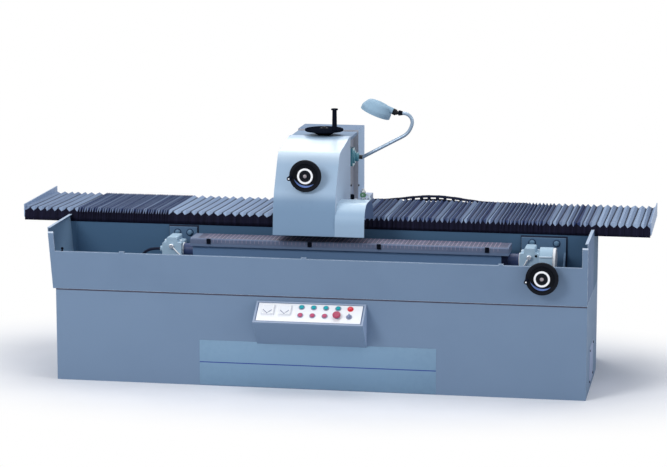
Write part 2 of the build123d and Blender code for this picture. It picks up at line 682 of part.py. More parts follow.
def table_bracket(x0, x1, shelf0, shelf1):
    """Plate on the bed wall, a shelf for the bearing block and a rib at each side."""
    plate = BED_FRONT - BRACKET_PLATE
    under = SHELF_Z - BRACKET_SHELF
    top = TILT_Z + BRACKET_TOP
    bracket = block(x0, x1, plate, BED_FRONT, under, top)
    bracket += block(shelf0, shelf1, TILT_Y - BLOCK_DEPTH / 2, plate, under, SHELF_Z)
    reach = plate - RIB_REACH
    rib_top = top - RIB_TOP
    rib = outline([(plate, under), (plate, rib_top), (reach, rib_top - RIB_DROP), (reach, under)])
    bracket += prism_x(rib, x0, x0 + BRACKET_RIB)
    bracket += prism_x(rib, x1 - BRACKET_RIB, x1)
    bracket += block(x0, x1, reach, plate, under, SHELF_Z)
    return bracket


def table_brackets():
    left = table_bracket(LEFT_BLOCK_START - BRACKET_RIB, LEFT_BLOCK_END + BRACKET_SIDE,
                         LEFT_BLOCK_START, LEFT_BLOCK_END)
    right = table_bracket(GEARBOX_START - BRACKET_RIB - GAP, DRUM_END + BRACKET_SIDE,
                          GEARBOX_START, DRUM_END)
    return [left, right]


def bearing_casting(x0, x1):
    """Split bearing block with shoulders and a raised crown, standing on its shelf."""
    shoulder = TILT_Z + BLOCK_SHOULDER
    crown = TILT_Z + BLOCK_CROWN
    left = x0 + BLOCK_CROWN_INSET
    right = x1 - BLOCK_CROWN_INSET
    points = [(x0, SHELF_Z), (x1, SHELF_Z), (x1, shoulder, BLOCK_ROUND), (right, shoulder, BLOCK_ROUND / 2),
              (right, crown, BLOCK_ROUND), (left, crown, BLOCK_ROUND), (left, shoulder, BLOCK_ROUND / 2),
              (x0, shoulder, BLOCK_ROUND)]
    casting = prism_y(outline(points), TILT_Y - BLOCK_DEPTH / 2, TILT_Y + BLOCK_DEPTH / 2)
    pivot = lever_pivot(x0)
    inside = (pivot[0], pivot[1] + LEVER_STUD_LENGTH, pivot[2])
    return casting - rod(LEVER_STUD_RADIUS + RUN, pivot, inside)


def lever_pivot(x0):
    return (x0 + BLOCK_LENGTH / 2, TILT_Y - BLOCK_DEPTH / 2, TILT_Z + LEVER_PIVOT_RISE)


def bearing_block():
    x0 = LEFT_BLOCK_START
    x1 = LEFT_BLOCK_END
    casting = bearing_casting(x0, x1)
    casting += rod_x(SEAL_RADIUS, x1, x1 + SEAL_WIDTH, TILT_Y, TILT_Z)
    casting += rod_x(STUB_RADIUS, x0 - STUB_LENGTH, x0, TILT_Y, TILT_Z)
    return casting - rod_x(JOURNAL_RADIUS + RUN, x1 - JOURNAL_LENGTH, x1 + SEAL_WIDTH, TILT_Y, TILT_Z)


def worm_gearbox():
    x0 = GEARBOX_START
    casting = bearing_casting(x0, GEARBOX_END)
    casting += rod_x(SEAL_RADIUS, x0 - SEAL_WIDTH, x0, TILT_Y, TILT_Z)
    rim = DRUM_LENGTH - DRUM_RIM
    inner = DRUM_RADIUS - DRUM_STEP
    casting += turned([(0, 0), (DRUM_RADIUS, 0), (DRUM_RADIUS, rim), (inner, rim), (inner, DRUM_LENGTH),
                       (0, DRUM_LENGTH)], facing_right(GEARBOX_END, TILT_Y, TILT_Z))
    half = DRUM_RADIUS * 0.7
    casting += block(GEARBOX_END, GEARBOX_END + rim, TILT_Y - half, TILT_Y + half, SHELF_Z, TILT_Z)
    boss = TILT_Y - DRUM_RADIUS - SHAFT_BOSS_LENGTH
    casting += rod_y(SHAFT_BOSS_RADIUS, TILT_WHEEL_X, boss, TILT_Y, TILT_WHEEL_Z)
    casting -= rod_y(WHEEL_SHAFT_RADIUS + RUN, TILT_WHEEL_X, boss, TILT_Y, TILT_WHEEL_Z)
    return casting - rod_x(JOURNAL_RADIUS + RUN, x0 - SEAL_WIDTH, x0 + JOURNAL_LENGTH, TILT_Y, TILT_Z)


def chuck_conduit():
    start = Vector(LEFT_BLOCK_START - STUB_LENGTH, TILT_Y, TILT_Z)
    points = [start] + [start + Vector(*step) for step in CONDUIT_ROUTE]
    nut = BED_FRONT - CONDUIT_NUT_LENGTH
    points.append(Vector(points[-1].X, nut, points[-1].Z))
    radii = []
    for before, here, after in zip(points, points[1:], points[2:]):
        turn = radians((here - before).get_angle(after - here))
        shorter = min((here - before).length, (after - here).length)
        radii.append(0.45 * shorter / tan(turn / 2))
    print("conduit bend radii", [round(radius, 1) for radius in radii])
    path = FilletPolyline(*points, radius=radii)
    tube = sweep(Plane(origin=start, z_dir=points[1] - start) * Circle(CONDUIT_RADIUS), path)
    end = points[-1]
    return tube + rod_y(CONDUIT_NUT_RADIUS, end.X, nut, BED_FRONT, end.Z)


def table_beam():
    """Inverted channel with closed ends and inner webs."""
    y0 = TILT_Y - BEAM_WIDTH / 2
    y1 = TILT_Y + BEAM_WIDTH / 2
    foot = BEAM_TOP - BEAM_HEIGHT
    beam = block(BEAM_LEFT, BEAM_RIGHT, y0, y1, foot, BEAM_TOP)
    step = (BEAM_RIGHT - BEAM_LEFT - BEAM_WALL) / BEAM_BAYS
    for i in range(BEAM_BAYS):
        x = BEAM_LEFT + BEAM_WALL + i * step
        beam -= block(x, x + step - BEAM_WALL, y0 + BEAM_WALL, y1 - BEAM_WALL, foot, BEAM_TOP - BEAM_WALL)
    return beam


def trunnions():
    shoulder = TRUNNION_LENGTH - SEAL_WIDTH - GAP
    journal = shoulder + GAP + JOURNAL_LENGTH
    profile = [(0, 0), (TRUNNION_RADIUS, 0), (TRUNNION_RADIUS, shoulder), (JOURNAL_RADIUS, shoulder),
               (JOURNAL_RADIUS, journal), (0, journal)]
    left = Plane(origin=(BEAM_LEFT, TILT_Y, TILT_Z), x_dir=(0, 1, 0), z_dir=(-1, 0, 0))
    return [turned(profile, left), turned(profile, facing_right(BEAM_RIGHT, TILT_Y, TILT_Z))]


def magnetic_chuck():
    half = CHUCK_WIDTH / 2
    bevel = CHUCK_BEVEL
    points = [(TILT_Y - half, BEAM_TOP), (TILT_Y + half, BEAM_TOP), (TILT_Y + half, CHUCK_TOP - bevel),
              (TILT_Y + half - bevel, CHUCK_TOP), (TILT_Y - half + bevel, CHUCK_TOP),
              (TILT_Y - half, CHUCK_TOP - bevel)]
    return prism_x(outline(points), CHUCK_LEFT, CHUCK_RIGHT)


def chuck_stops():
    face = TILT_Y - CHUCK_WIDTH / 2
    profile = outline([(face, CHUCK_TOP - STOP_DROP), (face, CHUCK_TOP + STOP_RISE, STOP_DEPTH / 3),
                       (face - STOP_DEPTH, CHUCK_TOP + STOP_RISE - STOP_DEPTH / 2, STOP_DEPTH / 4),
                       (face - STOP_DEPTH, CHUCK_TOP - STOP_DROP)])
    stops = []
    for place in STOP_PLACES:
        x = CHUCK_LEFT + place
        stops.append(prism_x(profile, x - STOP_WIDTH / 2, x + STOP_WIDTH / 2))
    return stops


def clamp_lever(x0, angle):
    x, y, z = lever_pivot(x0)
    plane = facing_front(x, y, z)
    hub = LEVER_HUB_RADIUS
    tall = LEVER_HUB_HEIGHT
    lever = turned([(0, -LEVER_STUD_LENGTH + GAP), (LEVER_STUD_RADIUS, -LEVER_STUD_LENGTH + GAP),
                    (LEVER_STUD_RADIUS, GAP), (hub, GAP), (hub, tall, hub / 3), (0, tall)], plane)
    reach = Vector(cos(radians(angle)), 0, sin(radians(angle))) * LEVER_ROD_LENGTH
    middle = Vector(x, y - tall / 2, z)
    lever += rod(LEVER_ROD_RADIUS, middle, middle + reach)
    return lever + Pos(*(middle + reach)) * Sphere(LEVER_ROD_RADIUS * 1.25)


def handwheel(radius, rim, hub, cone, foot, back, plane, angle, stud_length):
    """Dished black wheel: thick rounded rim, thin web, hub behind and a stud for the revolving grip."""
    half = rim / 2
    web = rim / 6
    profile = [(0, -half - back), (foot, -half - back), (cone, -web), (radius - rim, -web),
               (radius - rim, -half, rim / 5), (radius, -half, rim / 3), (radius, half, rim / 3),
               (radius - rim, half, rim / 5), (radius - rim, web), (hub * 1.6, web), (hub * 1.5, half),
               (hub * 0.45, half), (hub * 0.4, half * 1.5), (0, half * 1.5)]
    wheel = turned(profile, plane)
    stud = grip_plane(plane, radius - rim / 2, 0, angle).origin
    return wheel + rod(GRIP_STUD_RADIUS, stud, stud + plane.z_dir * (half + stud_length))


def grip_plane(plane, reach, lift, angle):
    spot = plane.from_local_coords((reach * cos(radians(angle)), reach * sin(radians(angle)), lift))
    return Plane(origin=spot, x_dir=plane.x_dir, z_dir=plane.z_dir)


def grip(radius, length, place):
    """Waisted grip that turns on its stud."""
    bore = GRIP_STUD_RADIUS + RUN
    profile = [(bore, GAP), (radius * 0.75, GAP), (radius, length * 0.2, length / 6),
               (radius * 0.78, length * 0.75, length / 4), (radius, length - radius / 2, radius / 4),
               (radius * 0.8, length), (bore, length)]
    return turned(profile, place)


def tilt_wheel_plane():
    y = TROUGH_FRONT - SHAFT_BOSS_LENGTH - GAP - WHEEL_HUB_BACK - WHEEL_RIM / 2
    return facing_front(TILT_WHEEL_X, y, TILT_WHEEL_Z)


def front_wheel(plane):
    hub = WHEEL_HUB_RADIUS
    return handwheel(WHEEL_RADIUS, WHEEL_RIM, hub, hub, hub * 0.75, WHEEL_HUB_BACK, plane,
                     GRIP_ANGLE, GRIP_LENGTH)


def front_grip(plane):
    half = WHEEL_RIM / 2
    return grip(GRIP_RADIUS, GRIP_LENGTH, grip_plane(plane, WHEEL_RADIUS - half, half, GRIP_ANGLE))


def tilt_handwheel():
    plane = tilt_wheel_plane()
    shaft = rod(WHEEL_SHAFT_RADIUS, plane.origin, (TILT_WHEEL_X, TILT_Y - 2 * GAP, TILT_WHEEL_Z))
    return front_wheel(plane) + shaft


def tilt_handle():
    return front_grip(tilt_wheel_plane())


def saddle():
    lip_foot = BED_TOP + RAIL_HEIGHT / 4
    under = RAIL_TOP + RUN
    casting = block(HEAD_LEFT, SADDLE_RIGHT, BELLOWS_FRONT, BELLOWS_BACK, under, SADDLE_TOP)
    front = RAIL_FRONT - RUN
    rear = RAIL_BACK + RAIL_WIDTH + RUN
    casting += block(HEAD_LEFT, SADDLE_RIGHT, front - SADDLE_LIP, front, lip_foot, under)
    casting += block(HEAD_LEFT, SADDLE_RIGHT, rear, rear + SADDLE_LIP, lip_foot, under)
    casting -= rod_z(PINION_SHAFT_RADIUS + RUN, HEAD_OFFSET, PINION_Y, under, SADDLE_TOP)
    high = CHAIN_HIGH + LINK_HEIGHT / 2
    casting += block(SADDLE_RIGHT - LINK_PITCH, SADDLE_RIGHT, BELLOWS_BACK, CHAIN_FRONT + LINK_WIDTH,
                     CHAIN_HIGH - LINK_HEIGHT / 2, max(high, under + LINK_HEIGHT / 2))
    return casting


def dovetail(clearance, reach):
    """Plan of the vertical dovetail way, from its root at the column to its front."""
    root = DOVETAIL_ROOT / 2 + clearance
    wide = DOVETAIL_WIDTH / 2 + clearance
    neck = COLUMN_FRONT - DOVETAIL_NECK
    front = WAY_FRONT - clearance
    x = HEAD_OFFSET
    return outline([(x - root, reach), (x - root, neck), (x - wide, front), (x + wide, front),
                    (x + root, neck), (x + root, reach)])


def column():
    left = HEAD_OFFSET - COLUMN_WIDTH / 2
    right = HEAD_OFFSET + COLUMN_WIDTH / 2
    wall = COLUMN_WALL
    casting = block(left, right, COLUMN_FRONT, BELLOWS_BACK, SADDLE_TOP, COLUMN_TOP)
    casting -= block(left + wall, right - wall, COLUMN_FRONT + wall, BELLOWS_BACK - wall,
                     SADDLE_TOP, COLUMN_TOP - wall)
    casting += prism_z(dovetail(0, COLUMN_FRONT), SADDLE_TOP, WAY_TOP)
    half = NUT_WIDTH / 2
    casting += block(SCREW_X - half, SCREW_X + half, SCREW_Y - half, WAY_FRONT, NUT_Z, NUT_Z + NUT_HEIGHT)
    return casting - rod_z(SCREW_RADIUS + RUN, SCREW_X, SCREW_Y, NUT_Z, NUT_Z + NUT_HEIGHT)


def traverse_gearmotor():
    half = GEARBOX_WIDTH / 2
    wall = COLUMN_WALL + GAP
    front = COLUMN_FRONT + wall
    motor_y = front + TRAVERSE_MOTOR_RADIUS + GAP
    gearbox = block(HEAD_OFFSET - half, HEAD_OFFSET + half, front, motor_y + TRAVERSE_MOTOR_RADIUS,
                    SADDLE_TOP, SADDLE_TOP + GEARBOX_HEIGHT)
    gearbox -= rod_z(PINION_SHAFT_RADIUS + RUN, HEAD_OFFSET, PINION_Y,
                     SADDLE_TOP, SADDLE_TOP + GEARBOX_HEIGHT / 2)
    radius = TRAVERSE_MOTOR_RADIUS
    tall = TRAVERSE_MOTOR_HEIGHT
    motor = turned([(0, 0), (radius, 0), (radius, tall, radius / 4), (0, tall)],
                   facing_up(HEAD_OFFSET, motor_y, SADDLE_TOP + GEARBOX_HEIGHT))
    return gearbox + motor


def involute(base, roll):
    """Point of the involute of a base circle after a roll angle: its radius and its polar angle."""
    return base * sqrt(1 + roll ** 2), roll - atan2(roll, 1)


def traverse_pinion():
    """Spur pinion with involute flanks; one tooth points at the rack at rest."""
    base = PINION_RADIUS * cos(radians(PRESSURE_ANGLE))
    tip = PINION_RADIUS + RACK_MODULE
    root = PINION_RADIUS - 1.25 * RACK_MODULE
    pitch_roll = tan(radians(PRESSURE_ANGLE))
    tip_roll = sqrt((tip / base) ** 2 - 1)
    half = pi / PINION_TEETH / 2 - TOOTH_BACKLASH / 4 / PINION_RADIUS
    offset = half + involute(base, pitch_roll)[1]
    flank = [(root, offset)]
    for roll in (0, tip_roll * 0.4, tip_roll * 0.7, tip_roll):
        radius, angle = involute(base, roll)
        flank.append((radius, offset - angle))
    points = []
    for i in range(PINION_TEETH):
        middle = 2 * pi * i / PINION_TEETH - pi / 2
        sides = [(r, middle - a) for r, a in flank] + [(r, middle + a) for r, a in reversed(flank)]
        points += [(HEAD_OFFSET + r * cos(a), PINION_Y + r * sin(a)) for r, a in sides]
    gear = prism_z(outline(points), RACK_TOP - PINION_WIDTH, RACK_TOP)
    shaft_end = SADDLE_TOP + GEARBOX_HEIGHT / 2 - GAP
    return gear + rod_z(PINION_SHAFT_RADIUS, HEAD_OFFSET, PINION_Y, RACK_TOP, shaft_end)


def chain_link(place, width, length):
    """One open link: a frame with a window through its sides."""
    link = Box(length, width, LINK_HEIGHT)
    link -= Box(length - LINK_WINDOW, width, LINK_WINDOW)
    return place * link


def chain_height(x):
    """Centre height of the upper run, with its free arch beside the carriage."""
    along = (x - SADDLE_RIGHT) / CHAIN_HUMP_LENGTH
    return CHAIN_HIGH + CHAIN_HUMP * sin(pi * along) ** 2 if along < 1 else CHAIN_HIGH


def chain_upper_run():
    count = round(CHAIN_RUN / LINK_PITCH)
    step = (CHAIN_RUN - 2 * GAP) / count
    run = Part()
    for i in range(count):
        x0 = SADDLE_RIGHT + GAP + i * step
        rise = chain_height(x0 + step) - chain_height(x0)
        slope = degrees(atan2(rise, step))
        middle = (chain_height(x0) + chain_height(x0 + step)) / 2
        place = Pos(x0 + step / 2, CHAIN_Y, middle) * Rot(0, -slope, 0)
        inner = 0 < i < count - 1
        length = hypot(step, rise) + (3 if inner and i % 2 else 0)
        run += chain_link(place, LINK_NARROW if i % 2 else LINK_WIDTH, length)
    room = block(SADDLE_RIGHT + GAP, CHAIN_END - GAP, CHAIN_FRONT, CHAIN_FRONT + LINK_WIDTH,
                 LEDGE_Z, CHAIN_HIGH + CHAIN_HUMP + 2 * LINK_HEIGHT)
    return run & room


def chain_bend():
    step = pi / CHAIN_BEND_LINKS
    outer = CHAIN_BEND_RADIUS + LINK_HEIGHT / 2
    length = 2 * outer * tan(step / 2)
    middle = (CHAIN_HIGH + CHAIN_LOW) / 2
    bend = Part()
    for i in range(CHAIN_BEND_LINKS):
        angle = pi / 2 - (i + 0.5) * step
        turn = Pos(CHAIN_END, CHAIN_Y, middle) * Rot(0, 90 - degrees(angle), 0)
        bend += chain_link(turn * Pos(0, 0, CHAIN_BEND_RADIUS), LINK_WIDTH, length)
    bend &= rod_y(outer - GAP, CHAIN_END, CHAIN_FRONT, CHAIN_FRONT + LINK_WIDTH, middle)
    room = block(CHAIN_END - length, CHAIN_END + GAP, CHAIN_FRONT, CHAIN_FRONT + LINK_WIDTH,
                 LEDGE_Z - LINK_HEIGHT, CHAIN_HIGH + LINK_HEIGHT)
    return bend - room


def chain_lower_run():
    count = round((CHAIN_END - LEDGE_START) / LINK_PITCH)
    step = (CHAIN_END - GAP - LEDGE_START) / count
    run = Part()
    for i in range(count):
        place = Pos(LEDGE_START + (i + 0.5) * step, CHAIN_Y, CHAIN_LOW)
        run += chain_link(place, LINK_NARROW if i % 2 else LINK_WIDTH, step)
    return run


def head_slide():
    """Casting that rides on the dovetail, with a pocket for screw and nut and an arm for the motor."""
    casting = block(SLIDE_LEFT, SLIDE_RIGHT, SLIDE_FRONT, SLIDE_BACK, SLIDE_BOTTOM, SLIDE_TOP)
    casting -= prism_z(dovetail(RUN, BELLOWS_BACK), SLIDE_BOTTOM, SLIDE_TOP)
    half = NUT_WIDTH / 2 + POCKET_ROOM
    casting -= block(SCREW_X - half, SCREW_X + half, SCREW_Y - half, WAY_FRONT, SLIDE_BOTTOM, SLIDE_TOP)
    arm = ARM_WIDTH / 2
    casting += block(HEAD_OFFSET - arm, HEAD_OFFSET + arm, TILT_Y - MOTOR_RADIUS, SLIDE_FRONT,
                     ARM_Z, ARM_Z + ARM_THICK)
    knob = knob_plane().origin
    return casting - rod_x(KNOB_STUD_RADIUS + RUN, knob.X - KNOB_STUD_LENGTH, knob.X, knob.Y, knob.Z)


def cover_outline(extra):
    """Side view of the head cover; extra runs its open bottom and back past the sheet edges."""
    foot = GUARD_Z - extra
    low = GUARD_Z + COVER_LOWER_RISE
    lean = COVER_LOWER_LEAN / COVER_LOWER_RISE
    high = low + COVER_UPPER_RISE
    crown = high + COVER_CROWN_RISE
    bend = GUARD_FRONT + COVER_LOWER_LEAN
    shoulder = bend + COVER_UPPER_LEAN
    back = SLIDE_FRONT + extra
    notch = BED_FRONT - COVER_ROOM + extra
    notch_z = SLIDE_BOTTOM + COVER_ROOM - extra
    return outline([(GUARD_FRONT - lean * extra, foot), (bend, low, COVER_SOFT_BEND),
                    (shoulder, high, COVER_SHOULDER),
                    (SLIDE_FRONT - COVER_CROWN_FLAT, crown, COVER_CROWN_BEND), (back, crown),
                    (back, notch_z), (notch, notch_z), (notch, foot)])


def cover_face(z):
    """Outer face of the leaning front of the head cover at height z."""
    low = GUARD_Z + COVER_LOWER_RISE
    return GUARD_FRONT + COVER_LOWER_LEAN + COVER_UPPER_LEAN * (z - low) / COVER_UPPER_RISE


def fine_wheel_plane():
    y = cover_face(FINE_Z - WHEEL_RADIUS) - FINE_WHEEL_ROOM - WHEEL_RIM / 2
    return facing_front(FINE_X, y, FINE_Z)


def head_cover():
    sheet = COVER_SHEET_HEAD
    shell = prism_x(cover_outline(0), HEAD_LEFT, HEAD_RIGHT)
    shell -= prism_x(offset(cover_outline(20 * sheet), -sheet), HEAD_LEFT + sheet, HEAD_RIGHT - sheet)
    shell -= rod_x(FLANGE_RADIUS + COVER_ROOM, HEAD_RIGHT - 2 * sheet, HEAD_RIGHT, TILT_Y, STONE_Z)
    plane = fine_wheel_plane()
    front = plane.origin.Y + WHEEL_RIM / 2 + WHEEL_HUB_BACK + GAP
    back = cover_face(FINE_Z) + FINE_BOSS_INNER
    shell += rod_y(FINE_BOSS_RADIUS, FINE_X, front, back, FINE_Z)
    return shell - rod_y(WHEEL_SHAFT_RADIUS + RUN, FINE_X, front, back, FINE_Z)


def guard_outline(extra):
    front = GUARD_FRONT
    back = GUARD_FRONT + GUARD_DEPTH
    top = GUARD_Z + GUARD_HEIGHT
    return outline([(front, GUARD_Z - extra), (front, top, GUARD_ROUND), (back, top, GUARD_ROUND),
                    (back, GUARD_Z - extra)])


def wheel_guard():
    """Rounded hood with a full front and an end plate above the mouth through which the wheel is changed."""
    sheet = COVER_SHEET_HEAD
    back = GUARD_FRONT + GUARD_DEPTH
    rear_edge = GUARD_Z + GUARD_MOUTH_BACK
    inside = offset(guard_outline(20 * sheet), -sheet)
    shell = prism_x(guard_outline(0), HEAD_RIGHT, GUARD_RIGHT)
    shell -= prism_x(inside, HEAD_RIGHT, GUARD_RIGHT - sheet)
    mouth = outline([(GUARD_FRONT, GUARD_Z), (back, GUARD_Z), (back, rear_edge),
                     (GUARD_FRONT, GUARD_Z + GUARD_MOUTH_FRONT)])
    shell -= prism_x(inside, HEAD_RIGHT, GUARD_RIGHT) & prism_x(mouth, HEAD_RIGHT, GUARD_RIGHT)
    return shell - block(HEAD_RIGHT, GUARD_RIGHT, back - sheet, back, GUARD_Z, rear_edge)


def grinding_motor():
    x0 = HEAD_LEFT + MOTOR_INSET_LEFT
    x1 = HEAD_RIGHT - MOTOR_INSET_RIGHT
    length = x1 - x0
    radius = MOTOR_RADIUS
    cowl = length * 0.2
    body = turned([(0, 0), (radius * 0.8, 0, radius / 8), (radius * 0.9, cowl), (radius, cowl),
                   (radius, length * 0.85), (radius * 0.85, length, radius / 8), (0, length)],
                  facing_right(x0, TILT_Y, STONE_Z))
    foot = length / 4
    body += block(x0 + foot, x1 - foot, TILT_Y - radius * 0.7, TILT_Y + radius * 0.7, STONE_Z, ARM_Z)
    return body - rod_x(SPINDLE_RADIUS + RUN, x1 - SPINDLE_SEAT, x1, TILT_Y, STONE_Z)


def wheel_spindle():
    start = HEAD_RIGHT - MOTOR_INSET_RIGHT - SPINDLE_SEAT + GAP
    floor = HEAD_RIGHT + STONE_SETOVER
    seat = floor - start
    nut = seat + STONE_FLOOR
    end = nut + FLANGE_WIDTH
    flange = seat - FLANGE_WIDTH
    profile = [(0, 0), (SPINDLE_RADIUS, 0), (SPINDLE_RADIUS, flange), (FLANGE_RADIUS, flange),
               (FLANGE_RADIUS, seat), (SPINDLE_RADIUS, seat), (SPINDLE_RADIUS, nut),
               (FLANGE_RADIUS * 0.8, nut), (FLANGE_RADIUS * 0.7, end), (0, end)]
    return turned(profile, facing_right(start, TILT_Y, STONE_Z))


def grinding_wheel():
    rim = STONE_RADIUS - STONE_WALL
    profile = [(SPINDLE_RADIUS + RUN, 0), (STONE_RADIUS * 0.85, 0), (STONE_RADIUS, STONE_FLOOR),
               (STONE_RADIUS, STONE_WIDTH), (rim, STONE_WIDTH), (rim * 0.9, STONE_FLOOR),
               (SPINDLE_RADIUS + RUN, STONE_FLOOR)]
    return turned(profile, facing_right(HEAD_RIGHT + STONE_SETOVER, TILT_Y, STONE_Z))


def screw_plate():
    plate = block(HEAD_LEFT, HEAD_RIGHT, SLIDE_FRONT, SLIDE_BACK, SLIDE_TOP, PLATE_TOP)
    return plate - rod_z(SCREW_RADIUS + RUN, SCREW_X, SCREW_Y, SLIDE_TOP, PLATE_TOP)


def top_wheel_plane():
    return facing_up(SCREW_X, SCREW_Y, PLATE_TOP + GAP + TOP_WHEEL_LIFT + TOP_WHEEL_RIM / 2)


def feed_screw():
    top = PLATE_TOP + GAP + TOP_WHEEL_LIFT / 2
    return rod_z(SCREW_RADIUS, SCREW_X, SCREW_Y, SADDLE_TOP + SCREW_TAIL, top)


def feed_handwheel():
    wheel = handwheel(TOP_WHEEL_RADIUS, TOP_WHEEL_RIM, TOP_WHEEL_HUB, TOP_WHEEL_CONE, TOP_WHEEL_FOOT,
                      TOP_WHEEL_LIFT, top_wheel_plane(), TOP_GRIP_ANGLE, TOP_GRIP_LENGTH)
    return wheel - feed_screw()


def feed_handle():
    """Straight upright grip with a flange at its top."""
    half = TOP_WHEEL_RIM / 2
    radius = TOP_GRIP_RADIUS
    bore = GRIP_STUD_RADIUS + RUN
    length = TOP_GRIP_LENGTH
    flange = length - radius / 2
    profile = [(bore, GAP), (radius * 0.9, GAP), (radius * 0.8, flange), (radius * 1.25, flange),
               (radius * 1.25, length, radius / 6), (bore, length)]
    return turned(profile, grip_plane(top_wheel_plane(), TOP_WHEEL_RADIUS - half, half, TOP_GRIP_ANGLE))


def fine_feed_handwheel():
    plane = fine_wheel_plane()
    end = cover_face(FINE_Z) + FINE_BOSS_INNER
    return front_wheel(plane) + rod(WHEEL_SHAFT_RADIUS, plane.origin, (FINE_X, end, FINE_Z))


def fine_feed_handle():
    return front_grip(fine_wheel_plane())


def knob_plane():
    return facing_right(SLIDE_RIGHT, SLIDE_FRONT + KNOB_SETBACK, SADDLE_TOP + KNOB_RISE)


def slide_lock_knob():
    """Round hand knob on the screw that locks the slide."""
    radius = KNOB_RADIUS
    length = KNOB_LENGTH
    tail = GAP - KNOB_STUD_LENGTH
    profile = [(0, tail), (KNOB_STUD_RADIUS, tail), (KNOB_STUD_RADIUS, GAP), (radius * 0.6, GAP),
               (radius * 0.6, length * 0.35), (radius, length * 0.5, radius / 6),
               (radius, length, radius / 3), (0, length)]
    return turned(profile, knob_plane())


def guard_top(y):
    """Height of the guard's rounded back at depth y."""
    centre = GUARD_FRONT + GUARD_DEPTH - GUARD_ROUND
    shoulder = GUARD_Z + GUARD_HEIGHT - GUARD_ROUND
    return shoulder + sqrt(GUARD_ROUND ** 2 - max(0, y - centre) ** 2)


def valve_base():
    return guard_top(VALVE_Y - VALVE_RADIUS) + VALVE_FOOT


def coolant_valve():
    """Upright ball valve on a foot shaped to the guard, with a cap above and an outlet at its side."""
    base = valve_base()
    body = turned([(0, 0), (VALVE_RADIUS, 0), (VALVE_RADIUS, VALVE_HEIGHT, VALVE_RADIUS / 3),
                   (VALVE_CAP_RADIUS, VALVE_HEIGHT), (VALVE_CAP_RADIUS, VALVE_HEIGHT + VALVE_CAP_HEIGHT),
                   (0, VALVE_HEIGHT + VALVE_CAP_HEIGHT)], facing_up(VALVE_X, VALVE_Y, base))
    foot = rod_z(VALVE_RADIUS, VALVE_X, VALVE_Y, GUARD_Z, base)
    body += foot - prism_x(guard_outline(0), HEAD_RIGHT, GUARD_RIGHT)
    outlet = base + VALVE_HEIGHT / 2
    body += rod_x(HOSE_BORE, VALVE_X, VALVE_X + VALVE_RADIUS + OUTLET_LENGTH, VALVE_Y, outlet)
    stem = VALVE_Y - VALVE_RADIUS - VALVE_LEVER_THICK
    return body + rod_y(VALVE_STEM_RADIUS, VALVE_X, stem, VALVE_Y, outlet)


def coolant_hose():
    """Short clear hose from the valve's outlet into the guard."""
    outlet = valve_base() + VALVE_HEIGHT / 2
    x0 = VALVE_X + VALVE_RADIUS
    x1 = x0 + HOSE_REACH
    foot = guard_top(VALVE_Y + HOSE_RADIUS)
    path = FilletPolyline((x0, VALVE_Y, outlet), (x1, VALVE_Y, outlet), (x1, VALVE_Y, foot - HOSE_RADIUS),
                          radius=HOSE_BEND)
    ring = Circle(HOSE_RADIUS) - Circle(HOSE_BORE)
    hose = sweep(Plane(origin=(x0, VALVE_Y, outlet), z_dir=(1, 0, 0)) * ring, path)
    hose -= rod_x(HOSE_BORE, x0, x0 + OUTLET_LENGTH, VALVE_Y, outlet)
    return hose - prism_x(guard_outline(0), HEAD_RIGHT, GUARD_RIGHT)


def valve_handle():
    """Short flat handle on the valve's stem."""
    y = VALVE_Y - VALVE_RADIUS
    z = valve_base() + VALVE_HEIGHT / 2
    half = VALVE_LEVER_WIDTH / 2
    bend = half * 0.9
    x0 = VALVE_X - half * 1.2
    x1 = VALVE_X + VALVE_LEVER_LENGTH
    face = outline([(x0, z - half, bend), (x1, z - half, bend), (x1, z + half, bend), (x0, z + half, bend)])
    lever = prism_y(face, y - VALVE_LEVER_THICK, y - GAP)
    return lever - rod_y(VALVE_STEM_RADIUS + RUN, VALVE_X, y - VALVE_LEVER_THICK, y, z)


def lamp_base():
    """Flange on the slide with a stepped round boss and the gland of the arm."""
    half = LAMP_BASE_DEPTH / 2
    tall = LAMP_BASE_HEIGHT / 2
    right = SLIDE_RIGHT + LAMP_BASE_WIDTH
    bend = half / 3
    face = outline([(LAMP_Y - half, LAMP_Z - tall, bend), (LAMP_Y + half, LAMP_Z - tall, bend),
                    (LAMP_Y + half, LAMP_Z + tall, bend), (LAMP_Y - half, LAMP_Z + tall, bend)])
    base = prism_x(face, SLIDE_RIGHT, SLIDE_RIGHT + LAMP_PLATE)
    boss = LAMP_BASE_WIDTH - LAMP_PLATE
    base += turned([(0, 0), (LAMP_STEP_RADIUS, 0), (LAMP_STEP_RADIUS, LAMP_STEP, LAMP_STEP / 2),
                    (LAMP_BOSS_RADIUS, LAMP_STEP), (LAMP_BOSS_RADIUS, boss, LAMP_STEP), (0, boss)],
                   facing_right(SLIDE_RIGHT + LAMP_PLATE, LAMP_Y, LAMP_Z))
    base += rod_x(LAMP_GLAND_RADIUS, right, GLAND_END, LAMP_Y, LAMP_Z)
    return base - rod_x(LAMP_PIN_RADIUS + RUN, GLAND_END - LAMP_PIN_LENGTH, GLAND_END, LAMP_Y, LAMP_Z)


def lamp_points():
    start = Vector(GLAND_END + GAP, LAMP_Y, LAMP_Z)
    return [start] + [start + Vector(x, 0, z) for x, z in LAMP_ROUTE]


